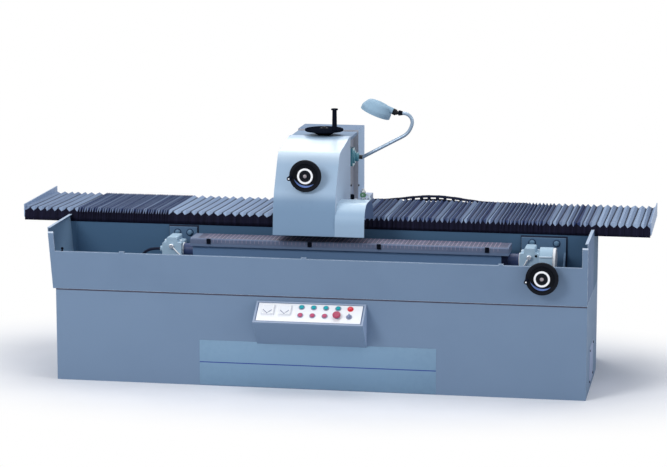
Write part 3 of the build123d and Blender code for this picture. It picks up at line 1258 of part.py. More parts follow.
def lamp_arm():
    """Bent gooseneck tube with a pin that swivels in the base and a ball at its far end."""
    points = lamp_points()
    path = FilletPolyline(*points, radius=list(LAMP_BENDS))
    tube = sweep(Plane(origin=points[0], z_dir=points[1] - points[0]) * Circle(LAMP_ARM_RADIUS), path)
    tube -= block(SLIDE_RIGHT, points[0].X, LAMP_Y - LAMP_ARM_RADIUS * 2, LAMP_Y + LAMP_ARM_RADIUS * 2,
                  LAMP_Z - LAMP_ARM_RADIUS * 4, LAMP_Z + LAMP_ARM_RADIUS * 4)
    pin = GLAND_END - LAMP_PIN_LENGTH + GAP
    tube += rod_x(LAMP_PIN_RADIUS, pin, points[0].X + LAMP_ARM_RADIUS, LAMP_Y, LAMP_Z)
    return tube + Pos(*points[-1]) * Sphere(BALL_RADIUS)


def shade_plane():
    """Rim plane of the shade: it looks back and up from the opening, with its x axis towards the arm."""
    turn = radians(SHADE_TURN)
    along = Vector(cos(turn), 0, -sin(turn))
    up = Vector(sin(turn), 0, cos(turn))
    centre = lamp_points()[-1] - along * (SHADE_RADIUS + SHADE_NECK) - up * SHADE_LIFT
    return Plane(origin=centre, x_dir=along, z_dir=up)


def dome(radius, height):
    shoulder = radius * 0.72
    return outline([(0, 0), (radius, 0), (radius, height * 0.34, radius * 0.3),
                    (shoulder, height * 0.86, radius * 0.3), (0, height)])


def lamp_shade():
    """Domed reflector with a ball socket, its pivot screws and a bulb holder, and the bulb inside."""
    place = shade_plane().location
    shell = revolve(Plane.XZ * dome(SHADE_RADIUS, SHADE_HEIGHT), Axis.Z)
    hollow = revolve(Plane.XZ * dome(SHADE_RADIUS - SHADE_SHEET, SHADE_HEIGHT - SHADE_SHEET), Axis.Z)
    ball_x = SHADE_RADIUS + SHADE_NECK
    pivot_end = SOCKET_RADIUS + PIVOT_REACH
    shade = shell + rod_x(SOCKET_RADIUS, 0, ball_x, 0, SHADE_LIFT) - hollow
    shade += rod_y(PIVOT_RADIUS, ball_x, -pivot_end, pivot_end, SHADE_LIFT)
    shade -= Pos(ball_x, 0, SHADE_LIFT) * Sphere(BALL_RADIUS + RUN)
    seat = SHADE_RADIUS * 0.45
    height = SHADE_LIFT - BULB_CAP_RADIUS / 2
    shade += rod_x(BULB_CAP_RADIUS, seat, SHADE_RADIUS, 0, height) & shell
    neck = BULB_CAP_RADIUS * 0.8
    wide = BULB_RADIUS
    profile = [(0, 0), (neck, 0), (neck, BULB_LENGTH * 0.2), (wide, BULB_LENGTH * 0.5, wide / 2),
               (wide, BULB_LENGTH, wide * 0.9), (0, BULB_LENGTH)]
    bulb = turned(profile, Plane(origin=(seat, 0, height), z_dir=(-1, 0, 0)))
    return [place * shade, place * bulb]


def console_plane():
    """Sloping face of the console: x to the right, y up the slope, with its origin at the upper edge."""
    normal = Vector(0, -CONSOLE_DROP, CONSOLE_REACH)
    return Plane(origin=(CONSOLE_LEFT, FRONT, CONSOLE_TOP), x_dir=(1, 0, 0), z_dir=normal)


def button_places():
    """Places of the operating elements from the console's left edge and down its slope."""
    upper = [(BUTTON_FIRST + i * BUTTON_PITCH, UPPER_ROW) for i in range(5)]
    lower = [(BUTTON_FIRST + i * BUTTON_PITCH, LOWER_ROW) for i in range(5)]
    return upper, lower


def console_rod(radius, place, low, high):
    x, drop = place
    plane = console_plane()
    solid = extrude(Plane.XY.offset(low) * Pos(x, -drop) * Circle(radius), high - low)
    return plane.location * solid


def console_profile(inset):
    nose = FRONT - CONSOLE_REACH
    nose_z = CONSOLE_TOP - CONSOLE_DROP
    face = outline([(FRONT, CONSOLE_FOOT), (FRONT, CONSOLE_TOP), (nose, nose_z, 3 * CONSOLE_SHEET)])
    return offset(face, -inset) if inset else face


def console_box():
    right = CONSOLE_LEFT + CONSOLE_WIDTH
    sheet = CONSOLE_SHEET
    shell = prism_x(console_profile(0), CONSOLE_LEFT, right)
    shell -= prism_x(console_profile(sheet), CONSOLE_LEFT + sheet, right - sheet)
    upper, lower = button_places()
    for place in upper[:4] + lower:
        shell -= console_rod(BUTTON_RADIUS + GAP, place, -3 * sheet, sheet)
    return shell


def console_panel():
    """White face plate with a collar round every operating element."""
    plane = console_plane()
    face = outline([(PANEL_MARGIN, -PANEL_MARGIN), (CONSOLE_WIDTH - PANEL_MARGIN, -PANEL_MARGIN),
                    (CONSOLE_WIDTH - PANEL_MARGIN, PANEL_MARGIN - CONSOLE_SLOPE),
                    (PANEL_MARGIN, PANEL_MARGIN - CONSOLE_SLOPE)])
    plate = plane.location * extrude(face, PANEL_SHEET)
    upper, lower = button_places()
    pieces = []
    top = PANEL_SHEET + COLLAR_HEIGHT
    for place in upper[:4] + lower:
        plate -= console_rod(BUTTON_RADIUS + GAP, place, 0, PANEL_SHEET)
        ring = console_rod(COLLAR_RADIUS, place, PANEL_SHEET, top)
        pieces.append(ring - console_rod(BUTTON_RADIUS + GAP, place, PANEL_SHEET, top))
    return [plate] + pieces


def panel_instruments():
    """Two square meters and the pilot lamp."""
    place = console_plane().location
    half = METER_SIZE / 2
    bend = METER_ROUND
    low = -METER_DROP - half
    high = -METER_DROP + half
    pieces = []
    for x in METER_PLACES:
        face = outline([(x - half, low, bend), (x + half, low, bend),
                        (x + half, high, bend), (x - half, high, bend)])
        pieces.append(place * extrude(Plane.XY.offset(PANEL_SHEET) * face, METER_HEIGHT))
    lens = [(0, 0), (COLLAR_RADIUS, 0), (COLLAR_RADIUS, COLLAR_HEIGHT), (LENS_RADIUS, COLLAR_HEIGHT),
            (LENS_RADIUS, LENS_LIFT, LENS_RADIUS / 2), (0, LENS_LIFT)]
    pieces.append(turned(lens, panel_spot(button_places()[0][4])))
    return pieces


def panel_spot(place):
    """Plane on the face plate at one of the console's places."""
    plane = console_plane()
    origin = plane.from_local_coords((place[0], -place[1], PANEL_SHEET))
    return Plane(origin=origin, x_dir=(1, 0, 0), z_dir=plane.z_dir)


def button_profile(place, cap):
    return turned([(0, -BUTTON_STEM), (BUTTON_RADIUS, -BUTTON_STEM)] + cap, panel_spot(place))


def push_button(place):
    return button_profile(place, [(BUTTON_RADIUS, BUTTON_LIFT, BUTTON_RADIUS / 6), (0, BUTTON_LIFT)])


def mushroom_button(place):
    top = MUSHROOM_LIFT + MUSHROOM_HEIGHT
    return button_profile(place, [(BUTTON_RADIUS, MUSHROOM_LIFT), (MUSHROOM_RADIUS, MUSHROOM_LIFT),
                                  (MUSHROOM_RADIUS, top, MUSHROOM_HEIGHT / 2), (0, top)])


def selector_switch(place):
    knob = button_profile(place, [(BUTTON_RADIUS, SELECTOR_LIFT), (0, SELECTOR_LIFT)])
    x, drop = place
    half = SELECTOR_BAR_WIDTH / 2
    reach = BUTTON_RADIUS * 0.95
    bar = outline([(x - half, -drop - reach, half * 0.8), (x + half, -drop - reach, half * 0.8),
                   (x + half, -drop + reach, half * 0.8), (x - half, -drop + reach, half * 0.8)])
    base = PANEL_SHEET + SELECTOR_LIFT
    return knob + console_plane().location * extrude(Plane.XY.offset(base) * bar, SELECTOR_BAR)


def all_nodes():
    upper, lower = button_places()
    nodes = {
        "base_cabinet": base_cabinet(),
        "rear_covers": rear_covers(),
        "coolant_trough": coolant_trough(),
        "trough_end_panels": trough_end_panels(),
        "bed": bed(),
        "guide_rails": guide_rails(),
        "traverse_rack": traverse_rack(),
        "bellows_end_plates": bellows_end_plates(),
        "bellows_left": bellows_left(),
        "bellows_right": bellows_right(),
        "table_brackets": table_brackets(),
        "bearing_block": bearing_block(),
        "worm_gearbox": worm_gearbox(),
        "chuck_conduit": chuck_conduit(),
        "table_beam": table_beam(),
        "trunnions": trunnions(),
        "magnetic_chuck": magnetic_chuck(),
        "chuck_stops": chuck_stops(),
        "clamp_lever_left": clamp_lever(LEFT_BLOCK_START, LEVER_ANGLES[0]),
        "clamp_lever_right": clamp_lever(GEARBOX_START, LEVER_ANGLES[1]),
        "tilt_handwheel": tilt_handwheel(),
        "tilt_handle": tilt_handle(),
        "saddle": saddle(),
        "column": column(),
        "traverse_gearmotor": traverse_gearmotor(),
        "traverse_pinion": traverse_pinion(),
        "chain_upper_run": chain_upper_run(),
        "chain_bend": chain_bend(),
        "chain_lower_run": chain_lower_run(),
        "head_slide": head_slide(),
        "head_cover": head_cover(),
        "wheel_guard": wheel_guard(),
        "grinding_motor": grinding_motor(),
        "wheel_spindle": wheel_spindle(),
        "grinding_wheel": grinding_wheel(),
        "screw_plate": screw_plate(),
        "feed_screw": feed_screw(),
        "feed_handwheel": feed_handwheel(),
        "feed_handle": feed_handle(),
        "fine_feed_handwheel": fine_feed_handwheel(),
        "fine_feed_handle": fine_feed_handle(),
        "slide_lock_knob": slide_lock_knob(),
        "coolant_valve": coolant_valve(),
        "coolant_hose": coolant_hose(),
        "valve_handle": valve_handle(),
        "lamp_base": lamp_base(),
        "lamp_arm": lamp_arm(),
        "lamp_shade": lamp_shade(),
        "console_box": console_box(),
        "console_panel": console_panel(),
        "panel_instruments": panel_instruments(),
        "emergency_button": mushroom_button(lower[3]),
        "selector_switch": selector_switch(lower[4]),
    }
    for i, place in enumerate(upper[:4]):
        nodes[f"start_button_{i + 1}"] = push_button(place)
    for i, place in enumerate(lower[:3]):
        nodes[f"stop_button_{i + 1}"] = push_button(place)
    return nodes


def main():
    os.makedirs("parts", exist_ok=True)
    for name, shape in all_nodes().items():
        if isinstance(shape, list):
            shape = Compound(children=shape)
        export_step(shape, os.path.join("parts", name + ".step"))


main()
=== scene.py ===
# %% [markdown]
# # Knife grinding machine
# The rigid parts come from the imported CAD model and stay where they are. This lesson dresses them: it
# makes the finishes, the pleated way covers, the hoses and the small fittings round them, and sets up the
# studio. Everything is in metres, with Z up and the operator standing on the -Y side.

# %% Load the CAD frame
from math import cos, pi, radians, sin

import bmesh
import bpy
from mathutils import Matrix, Vector


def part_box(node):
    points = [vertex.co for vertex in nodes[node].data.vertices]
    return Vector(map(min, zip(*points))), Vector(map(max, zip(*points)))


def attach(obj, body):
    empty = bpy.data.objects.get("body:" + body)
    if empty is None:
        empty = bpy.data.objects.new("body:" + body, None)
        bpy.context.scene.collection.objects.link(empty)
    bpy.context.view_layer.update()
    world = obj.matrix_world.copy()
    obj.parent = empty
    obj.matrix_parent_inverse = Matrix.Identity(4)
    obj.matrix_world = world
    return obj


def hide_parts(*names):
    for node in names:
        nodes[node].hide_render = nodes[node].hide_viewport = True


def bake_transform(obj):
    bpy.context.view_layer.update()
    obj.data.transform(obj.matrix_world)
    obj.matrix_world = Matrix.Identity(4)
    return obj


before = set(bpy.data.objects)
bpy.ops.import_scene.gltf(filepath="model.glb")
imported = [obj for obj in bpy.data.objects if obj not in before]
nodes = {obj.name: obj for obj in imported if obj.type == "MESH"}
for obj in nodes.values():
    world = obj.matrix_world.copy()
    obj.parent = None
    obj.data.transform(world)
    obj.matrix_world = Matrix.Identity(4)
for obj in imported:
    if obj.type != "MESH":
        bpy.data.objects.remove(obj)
scene = bpy.context.scene
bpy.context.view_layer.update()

# %% [markdown]
# ## Camera
# The photograph is taken from the right, a little above the table. A short lens close by would make the
# cabinet's edges converge, but in the photograph they stay almost parallel, so a long lens of 136 mm
# looks from 12.7 metres away.

# %% Camera
camera = bpy.data.objects.new("camera", bpy.data.cameras.new("camera"))
scene.collection.objects.link(camera)
camera.data.sensor_width = 36
camera.data.lens = 135.69
camera.data.clip_end = 200
camera.location = (2.17159, -12.36722, 2.95284)
camera.rotation_euler = (radians(79.83), 0, radians(9.96))
scene.camera = camera
print("camera at", tuple(camera.location))

# %% [markdown]
# ## Floor and light
# The photograph has a white ground. A floor of pure white would swallow the contact shadow, so this one is a
# real pale floor close to the machine, and further out it fades to a white that only the camera, mirrors and
# glass see. A large soft lamp stands in front on the left and a weaker one on the right. Two more hang above
# and behind and light the crown of the grinding head and the tops of the covers; the crown's gleam is partly
# a painted highlight, and the gleam of the covers is a painted sheen in the cloth's colour. The world fills
# the shadows.

# %% Materials and their nodes
finishes = {}
dressed = set()


def srgb(red, green, blue):
    """Linear colour of an sRGB triple from 0 to 255, as a colour picker shows it."""
    values = [c / 255 for c in (red, green, blue)]
    return [c / 12.92 if c <= 0.04045 else ((c + 0.055) / 1.055) ** 2.4 for c in values] + [1.0]


def new_material(name, on=""):
    """Empty node material, kept in finishes under its name and put on the CAD nodes that on names."""
    material = bpy.data.materials.new(name)
    material.use_nodes = True
    material.node_tree.nodes.clear()
    finishes[name] = material
    for node in on.split():
        nodes[node].data.materials.clear()
        nodes[node].data.materials.append(material)
        dressed.add(node)
    return material


def add_node(tree, kind, values=None, **settings):
    """Adds a shader node with its settings, sets or links its inputs, and returns its outputs."""
    node = tree.nodes.new("ShaderNode" + kind)
    for key, value in settings.items():
        setattr(node, key, value)
    for key, value in (values or {}).items():
        if isinstance(value, bpy.types.NodeSocket):
            tree.links.new(value, node.inputs[key])
        else:
            node.inputs[key].default_value = value
    return node.outputs


print("materials are built node by node")

# %% Nodes that most materials need
def place_on(tree):
    """Place on the piece, in the machine's frame."""
    return add_node(tree, "TexCoord")["Object"]


def maths(tree, operation, first, second=0.0):
    return add_node(tree, "Math", {0: first, 1: second}, operation=operation)[0]


def vectors(tree, operation, first, second=(0, 0, 0)):
    """Result of a vector operation, which is a number for a length, a distance or a dot product."""
    results = add_node(tree, "VectorMath", {0: first, 1: second}, operation=operation)
    return results["Value" if operation in ("LENGTH", "DISTANCE", "DOT_PRODUCT") else "Vector"]


def ranged(tree, value, low, high, to_low=0.0, to_high=1.0, steps="LINEAR"):
    """Where a value lies between low and high, told from to_low to to_high."""
    values = {0: value, 1: low, 2: high, 3: to_low, 4: to_high}
    return add_node(tree, "MapRange", values, interpolation_type=steps)[0]


def mixed(tree, share, first, second):
    """Mix of two colours, values or normals."""
    return add_node(tree, "MixRGB", {0: share, 1: first, 2: second})[0]


def noise(tree, place, scale, detail, roughness=0.5):
    values = {"Vector": place, "Scale": scale, "Detail": detail, "Roughness": roughness}
    return add_node(tree, "TexNoise", values)[0]


print("nodes: place, maths, vectors, range, mix, noise")

# %% Floor
WHITE = (1, 1, 1, 1)
FLOOR_OVAL, FLOOR_FADE = (0.42, 0.8, 0.0), (0.62, 1.15)


def seen_directly(tree):
    """1 for rays from the camera, from mirrors and through glass, and 0 for light that falls on things."""
    path = add_node(tree, "LightPath")
    direct = maths(tree, "MAXIMUM", path["Is Camera Ray"], path["Is Glossy Ray"])
    return maths(tree, "MAXIMUM", direct, path["Is Transmission Ray"])


def floor_material():
    material = new_material("studio_floor")
    tree = material.node_tree
    place = place_on(tree)
    reach = vectors(tree, "LENGTH", vectors(tree, "MULTIPLY", place, FLOOR_OVAL))
    far = ranged(tree, reach, *FLOOR_FADE, steps="SMOOTHSTEP")
    pale = mixed(tree, noise(tree, place, 3.0, 4.0), srgb(236, 237, 240), srgb(246, 246, 248))
    matt = add_node(tree, "BsdfDiffuse", {0: pale})[0]
    white = add_node(tree, "Emission", {0: WHITE})[0]
    share = maths(tree, "MULTIPLY", far, seen_directly(tree))
    surface = add_node(tree, "MixShader", {0: share, 1: matt, 2: white})[0]
    add_node(tree, "OutputMaterial", {0: surface})
    return material


floor_mesh = bmesh.new()
bmesh.ops.create_circle(floor_mesh, cap_ends=True, radius=90, segments=64)
floor = bpy.data.objects.new("floor", bpy.data.meshes.new("floor"))
floor_mesh.to_mesh(floor.data)
floor_mesh.free()
floor.data.materials.append(floor_material())
scene.collection.objects.link(floor)
print("floor of", len(floor.data.vertices), "corners")

# %% Lamps and world
def soft_lamp(name, place, aim, size, power):
    lamp = bpy.data.objects.new(name, bpy.data.lights.new(name, "AREA"))
    lamp.data.shape = "DISK"
    lamp.data.size = size
    lamp.data.energy = power
    lamp.location = place
    lamp.rotation_euler = (Vector(aim) - Vector(place)).to_track_quat("-Z", "Y").to_euler()
    scene.collection.objects.link(lamp)


soft_lamp("key_lamp", (-3.2, -5.4, 4.6), (0, 0, 0.6), 3.0, 215)
soft_lamp("side_lamp", (4.6, -2.4, 2.6), (0.3, 0, 0.8), 3.0, 42)
soft_lamp("top_lamp", (0.4, 0.4, 5.2), (0, 0, 0.6), 4.0, 100)
soft_lamp("crown_lamp", (-0.85, 3.9, 4.1), (-0.1, -0.2, 1.1), 3.0, 70)
world = bpy.data.worlds.new("studio")
world.use_nodes = True
sky = world.node_tree
sky.nodes.clear()
fill = add_node(sky, "Background", {0: srgb(225, 232, 245), 1: 0.5})[0]
ground = add_node(sky, "Background", {0: WHITE, 1: 1.0})[0]
seen = add_node(sky, "MixShader", {0: seen_directly(sky), 1: fill, 2: ground})[0]
add_node(sky, "OutputWorld", {0: seen})
scene.world = world
scene.view_settings.view_transform = "Standard"

# %% [markdown]
# ## Shared effects
# Several finishes need the same touches: a soft edge that catches the light where sheet metal is folded,
# the faint orange peel of sprayed paint, the lines that a grinder leaves on steel, the grain of moulded
# plastic. They could be built again in every material. As node groups they are built once, and each
# finish uses them with its own values.

# %% Making a group
GREY = (0.5, 0.5, 0.5, 1)
SURFACE = {"Base Color": "Color", "Roughness": "Float", "Normal": "Vector"}


def new_group(name, inputs, outputs):
    """Shader node group with its inputs, given by default value, and its outputs, given by kind."""
    group = bpy.data.node_groups.new(name, "ShaderNodeTree")
    for label, value in inputs.items():
        kind = {3: "Vector", 4: "Color"}[len(value)] if isinstance(value, tuple) else "Float"
        socket = group.interface.new_socket(label, in_out="INPUT", socket_type="NodeSocket" + kind)
        socket.default_value = value
    for label, kind in outputs.items():
        group.interface.new_socket(label, in_out="OUTPUT", socket_type="NodeSocket" + kind)
    return group, group.nodes.new("NodeGroupInput").outputs, group.nodes.new("NodeGroupOutput").inputs


def close_group(group, wanted, results):
    """Links what a group has made to its outputs."""
    for label, result in results.items():
        group.links.new(result, wanted[label])
    print("group", group.name, "gives", ", ".join(results))


def laid(tree, effect):
    """Outputs of an effect, a group with its values, placed in a material or in another group."""
    group, values = effect
    return dict(add_node(tree, "Group", values, node_tree=group).items())


def bumped(tree, height, strength, distance, normal=None):
    values = {"Height": height, "Strength": strength, "Distance": distance}
    if normal:
        values["Normal"] = normal
    return add_node(tree, "Bump", values)[0]


print("a surface has", ", ".join(SURFACE))

# %% Group: soft edges
soft_edges, given, wanted = new_group("soft_edges", {"Radius": 0.003}, {"Normal": "Vector", "Edge": "Float"})
rounded = add_node(soft_edges, "Bevel", {"Radius": given["Radius"]}, samples=6)[0]
straight = add_node(soft_edges, "NewGeometry")["Normal"]
turn = vectors(soft_edges, "DOT_PRODUCT", rounded, straight)
close_group(soft_edges, wanted, {"Normal": rounded, "Edge": ranged(soft_edges, turn, 0.995, 0.80)})

# %% Group: sprayed paint
def surface_group(name, inputs, build):
    """Effect with soft edges; build makes its colour, how its gloss varies, and its relief for bumped."""
    group, given, wanted = new_group(name, {**inputs, "Gloss": 0.4, "Radius": 0.003}, SURFACE)
    edges = laid(group, (soft_edges, {"Radius": given["Radius"]}))
    colour, film, relief = build(group, given, place_on(group), edges["Edge"])
    close_group(group, wanted, {
        "Base Color": colour, "Roughness": maths(group, "ADD", film, given["Gloss"]),
        "Normal": bumped(group, *relief, edges["Normal"])})
    return group


def paint_film(tree, given, place, edge):
    """Faint stains, edges worn pale and lightened by a painted highlight, and orange peel."""
    cloud = noise(tree, place, 2.2, 5.0, roughness=0.6)
    stain = maths(tree, "MULTIPLY", ranged(tree, cloud, 0.45, 0.75), given["Stains"])
    stained = mixed(tree, stain, given["Color"], given["Stain Color"])
    chips = ranged(tree, noise(tree, place, 45.0, 3.0), 0.30, 0.62, 0.35, 1.0)
    colour = mixed(tree, maths(tree, "MULTIPLY", chips, edge), stained, given["Edge Wear And Highlight Color"])
    film = ranged(tree, noise(tree, place, 14.0, 4.0), 0.3, 0.7, -0.06, 0.06)
    return colour, film, (noise(tree, place, 420.0, 2.0), 0.06, 0.001)


sprayed = surface_group(
    "sprayed_paint", {"Color": GREY, "Edge Wear And Highlight Color": GREY, "Stain Color": GREY, "Stains": 0.25}, paint_film)

# %% Group: ground steel
def steel_lines(tree, given, place, edge):
    """Lines drawn out along the way of grinding; they run over the edge as well."""
    lines = noise(tree, vectors(tree, "MULTIPLY", place, given["Stretch"]), 1.0, 4.0)
    tone = ranged(tree, maths(tree, "MULTIPLY", lines, noise(tree, place, 9.0, 4.0)), 0.12, 0.42)
    colour = mixed(tree, tone, given["Dark Color"], given["Color"])
    return colour, ranged(tree, lines, 0.25, 0.75, -0.1, 0.12), (lines, 0.08, 0.0005)


ground_lines = surface_group(
    "ground_lines", {"Color": GREY, "Dark Color": GREY, "Stretch": (4.0, 300.0, 300.0)}, steel_lines)

# %% Group: moulded plastic
def plastic_grain(tree, given, place, edge):
    """Fine grain, rubbed lighter along the edges."""
    cloud = noise(tree, place, 30.0, 4.0)
    rub = maths(tree, "MULTIPLY", maths(tree, "MULTIPLY", cloud, edge), 0.5)
    colour = mixed(tree, rub, given["Color"], given["Rub Color"])
    grain = noise(tree, place, given["Grain"], 1.0)
    return colour, ranged(tree, cloud, 0.3, 0.7, -0.07, 0.07), (grain, 0.05, 0.0005)


moulded = surface_group("moulded_grain", {"Color": GREY, "Rub Color": GREY, "Grain": 900.0}, plastic_grain)

# %% [markdown]
# ## Finishes
# The machine is sprayed in several blues: a grey-blue for cabinet and trough, and lighter ones for the
# grinding head, its guard and the bearing blocks. The bed is painted a deeper blue as painted shade, for the
# shade deep in the trough under the covers. Steel, black plastic and a few small colours make up the rest. A
# finish could be a node tree of its own; here it is an effect with its colours, fed into one shader, so each
# is one row of a list, which also names the CAD nodes it dresses.

# %% Effects with their colours
# The edge colour is that of edges worn pale and of the painted highlight along them.
def spray(colour, edge, stain, radius=0.003, gloss=0.4, stains=0.25):
    return sprayed, {"Color": srgb(*colour), "Edge Wear And Highlight Color": srgb(*edge), "Stain Color": srgb(*stain),
                     "Radius": radius, "Gloss": gloss, "Stains": stains}


def grind(colour, dark, stretch, gloss=0.3):
    return ground_lines, {"Color": srgb(*colour), "Dark Color": srgb(*dark), "Stretch": stretch,
                          "Gloss": gloss, "Radius": 0.001}


def mould(colour, rub, gloss=0.4, grain=900.0, radius=0.0012):
    return moulded, {"Color": srgb(*colour), "Rub Color": srgb(*rub), "Gloss": gloss, "Grain": grain,
                     "Radius": radius}


print("three kinds of effect: sprayed, ground and moulded")

# %% Finishes from effects
SATIN = {"Specular IOR Level": 0.08}


def dress(material, made, shader):
    """Feeds a surface into a Principled shader, with plain values on the shader's own sockets."""
    surface = add_node(material.node_tree, "BsdfPrincipled", {"IOR": 1.5, **made, **shader})[0]
    add_node(material.node_tree, "OutputMaterial", {0: surface})
    return material


def finish(name, on, base, layers=(), shader=SATIN, coat=None):
    """Finish for the CAD nodes that on names: a base effect and others over it, each through its mask.

    A coat is given as its weight and the mask of the side that it spares.
    """
    material = new_material(name, on)
    tree = material.node_tree
    made = laid(tree, base)
    for effect, mask in layers:
        over = laid(tree, effect)
        share = mask(tree)
        made = {key: mixed(tree, share, made[key], over[key]) for key in SURFACE}
    if coat:
        weight, spared = coat
        made["Coat Weight"] = maths(tree, "MULTIPLY", maths(tree, "SUBTRACT", 1.0, spared(tree)), weight)
    return dress(material, made, shader)


print("a finish is satin unless it says otherwise")

# %% Paints
cabinet_blue = spray((120, 141, 166), (156, 175, 198), (108, 129, 155), gloss=0.65)
# painted shade: the bed's blue is darker, for the shade deep in the trough under the covers
bed_shaded_blue = spray((76, 106, 134), (114, 140, 168), (64, 90, 118), gloss=0.6)
motor_grey = spray((128, 134, 142), (160, 165, 172), (100, 106, 114))
frame_white = spray((152, 168, 192), (190, 202, 218), (140, 156, 182), radius=0.001)
finish("cabinet_paint", "base_cabinet rear_covers", cabinet_blue)
finish("bed_paint", "bed", bed_shaded_blue)
finish("motor_paint", "traverse_gearmotor grinding_motor", motor_grey, shader={})
finish("frame_paint", "", frame_white, shader={})
for name, on, colour, edge, stain, radius, gloss in (
        ("saddle_paint", "saddle", (176, 188, 208), (205, 214, 228), (160, 172, 196), 0.003, 0.6),
        ("plate_paint", "bellows_end_plates", (146, 166, 194), (212, 222, 236), (132, 152, 182), 0.002, 0.4),
        ("bracket_paint", "table_brackets", (92, 120, 148), (150, 176, 202), (78, 104, 132), 0.003, 0.4),
        ("top_plate", "screw_plate", (130, 150, 174), (158, 176, 198), (122, 142, 167), 0.003, 0.7),
        ("groove_painted_shade", "", (92, 112, 146), (120, 138, 168), (82, 102, 136), 0.003, 0.4),
        ("bolt_blue", "", (104, 136, 162), (170, 194, 214), (86, 118, 146), 0.0015, 0.4),
        ("bolt_shadow_blue", "", (46, 66, 92), (70, 92, 120), (38, 58, 84), 0.001, 0.4),
        # painted highlight: bosses and rib are painted paler than the block they stand on
        ("boss_painted_highlight", "", (204, 220, 232), (236, 242, 246), (186, 204, 220), 0.0015, 0.4),
        ("hatch_paint", "", (150, 164, 192), (180, 192, 212), (128, 142, 172), 0.003, 0.6)):
    finish(name, on, spray(colour, edge, stain, radius, gloss))
print("paints", len(finishes) - 1)

# %% Steel
for name, on, colour, dark, stretch, gloss, metallic in (
        ("rail_steel", "guide_rails traverse_rack",
         (196, 198, 202), (150, 152, 158), (4, 300, 300), 0.3, 1.0),
        ("turned_steel", "traverse_pinion feed_screw wheel_spindle",
         (186, 188, 194), (140, 142, 150), (300, 40, 40), 0.3, 1.0),
        ("chrome", "clamp_lever_left clamp_lever_right",
         (238, 241, 245), (214, 219, 226), (30, 30, 30), 0.2, 0.6),
        ("nickel", "coolant_valve", (196, 200, 204), (150, 156, 160), (60, 60, 60), 0.25, 0.8),
        ("copper", "", (214, 150, 112), (170, 110, 80), (60, 60, 60), 0.25, 1.0),
        ("hub_steel", "", (176, 168, 172), (130, 124, 130), (90, 90, 90), 0.35, 0.5)):
    finish(name, on, grind(colour, dark, stretch, gloss), shader={"Metallic": metallic})
print("paints and metals", len(finishes) - 1)

# %% Plastic, rubber and stone
for name, on, colour, rub, gloss, shine in (
        ("black_plastic",
         "feed_handwheel feed_handle fine_feed_handle tilt_handle slide_lock_knob chuck_stops",
         (18, 22, 32), (52, 60, 76), 0.6, 0.0),
        ("chain_plastic", "chain_bend chain_lower_run chain_upper_run",
         (34, 38, 56), (150, 156, 178), 0.6, 0.0),
        ("start_green", "start_button_1 start_button_2 start_button_3 start_button_4",
         (0, 160, 170), (40, 188, 194), 0.3, 0.2),
        ("stop_red", "stop_button_1 stop_button_2 stop_button_3", (190, 78, 114), (225, 130, 156), 0.3, 0.2),
        ("alarm_red", "emergency_button", (178, 74, 102), (210, 120, 142), 0.3, 0.2),
        ("selector_blue", "selector_switch", (120, 134, 170), (160, 170, 196), 0.4, 0.5),
        ("valve_green", "valve_handle", (66, 112, 78), (110, 150, 116), 0.35, 0.5),
        ("navy_rubber", "trunnions", (60, 74, 112), (96, 110, 142), 0.4, 0.25),
        ("dish_black", "", (14, 17, 23), (44, 52, 66), 0.45, 0.06),
        ("reflection_blue", "", (98, 124, 184), (140, 160, 206), 0.4, 0.2),
        ("painted_shadow_navy", "", (26, 34, 54), (50, 60, 84), 0.6, 0.2),
        ("seam_and_shadow_brown", "", (74, 70, 84), (110, 104, 112), 0.7, 0.2),
        ("white_plastic", "", (250, 250, 250), (253, 253, 253), 0.35, 0.5),
        ("dial_grey", "", (96, 106, 138), (150, 158, 180), 0.5, 0.5)):
    finish(name, on, mould(colour, rub, gloss), shader={"Specular IOR Level": shine})
stone_pink = mould((206, 178, 172), (230, 214, 208), gloss=0.85, grain=1400.0)
finish("abrasive", "grinding_wheel", stone_pink, shader={})
print("plain finishes", len(finishes) - 1)

# %% [markdown]
# Some CAD nodes carry two finishes or more, because a ring, a collar or a socket is one solid with its
# casting, or because one side of a sheet is painted otherwise. Others carry painted light and shade: a side,
# a top or a band is painted lighter or darker than the rest. The mesh could be cut up and given several
# materials, but CAD meshes are left as they are. So another effect is laid over the first through a mask,
# made from the place on the node or from the side that the surface looks to.

# %% Masks by place
RIGHT, LEFT = (1, 0, 0), (-1, 0, 0)
BACK, FRONT = (0, 1, 0), (0, -1, 0)
UP, DOWN = (0, 0, 1), (0, 0, -1)


def along(tree, axis, origin=(0, 0, 0)):
    """How far a point lies along an axis."""
    return vectors(tree, "DOT_PRODUCT", vectors(tree, "SUBTRACT", place_on(tree), origin), axis)


def past(axis, limit, origin=(0, 0, 0)):
    """1 where a point lies past a limit along an axis."""
    return lambda tree: maths(tree, "GREATER_THAN", along(tree, axis, origin), limit)


def between(axis, low, high):
    """1 where a point lies between two limits along an axis."""
    return lambda tree: maths(tree, "SUBTRACT", past(axis, low)(tree), past(axis, high)(tree))


def fade(axis, low, high):
    """0 up to a limit along an axis, 1 past a second one, and smooth between them."""
    return lambda tree: ranged(tree, along(tree, axis), low, high, steps="SMOOTHSTEP")


def near(centre, reach):
    """1 within a reach of a centre."""
    return lambda tree: maths(tree, "LESS_THAN", vectors(tree, "DISTANCE", place_on(tree), centre), reach)


print("masks by place: past, between, fade, near")

# %% Masks by side
def looking(axis, least=0.5):
    """1 where the surface looks along an axis."""
    def mask(tree):
        normal = add_node(tree, "TexCoord")["Normal"]
        return maths(tree, "GREATER_THAN", vectors(tree, "DOT_PRODUCT", normal, axis), least)
    return mask


def hollow(centre):
    """1 where the surface looks back to a centre, as the inside of a bowl does."""
    def mask(tree):
        coords = add_node(tree, "TexCoord")
        local = vectors(tree, "SUBTRACT", coords["Object"], centre)
        return maths(tree, "LESS_THAN", vectors(tree, "DOT_PRODUCT", local, coords["Normal"]), 0.0)
    return mask


def both(first, second):
    """1 where two masks meet."""
    return lambda tree: maths(tree, "MULTIPLY", first(tree), second(tree))


print("masks by side: looking, hollow; two at once: both")

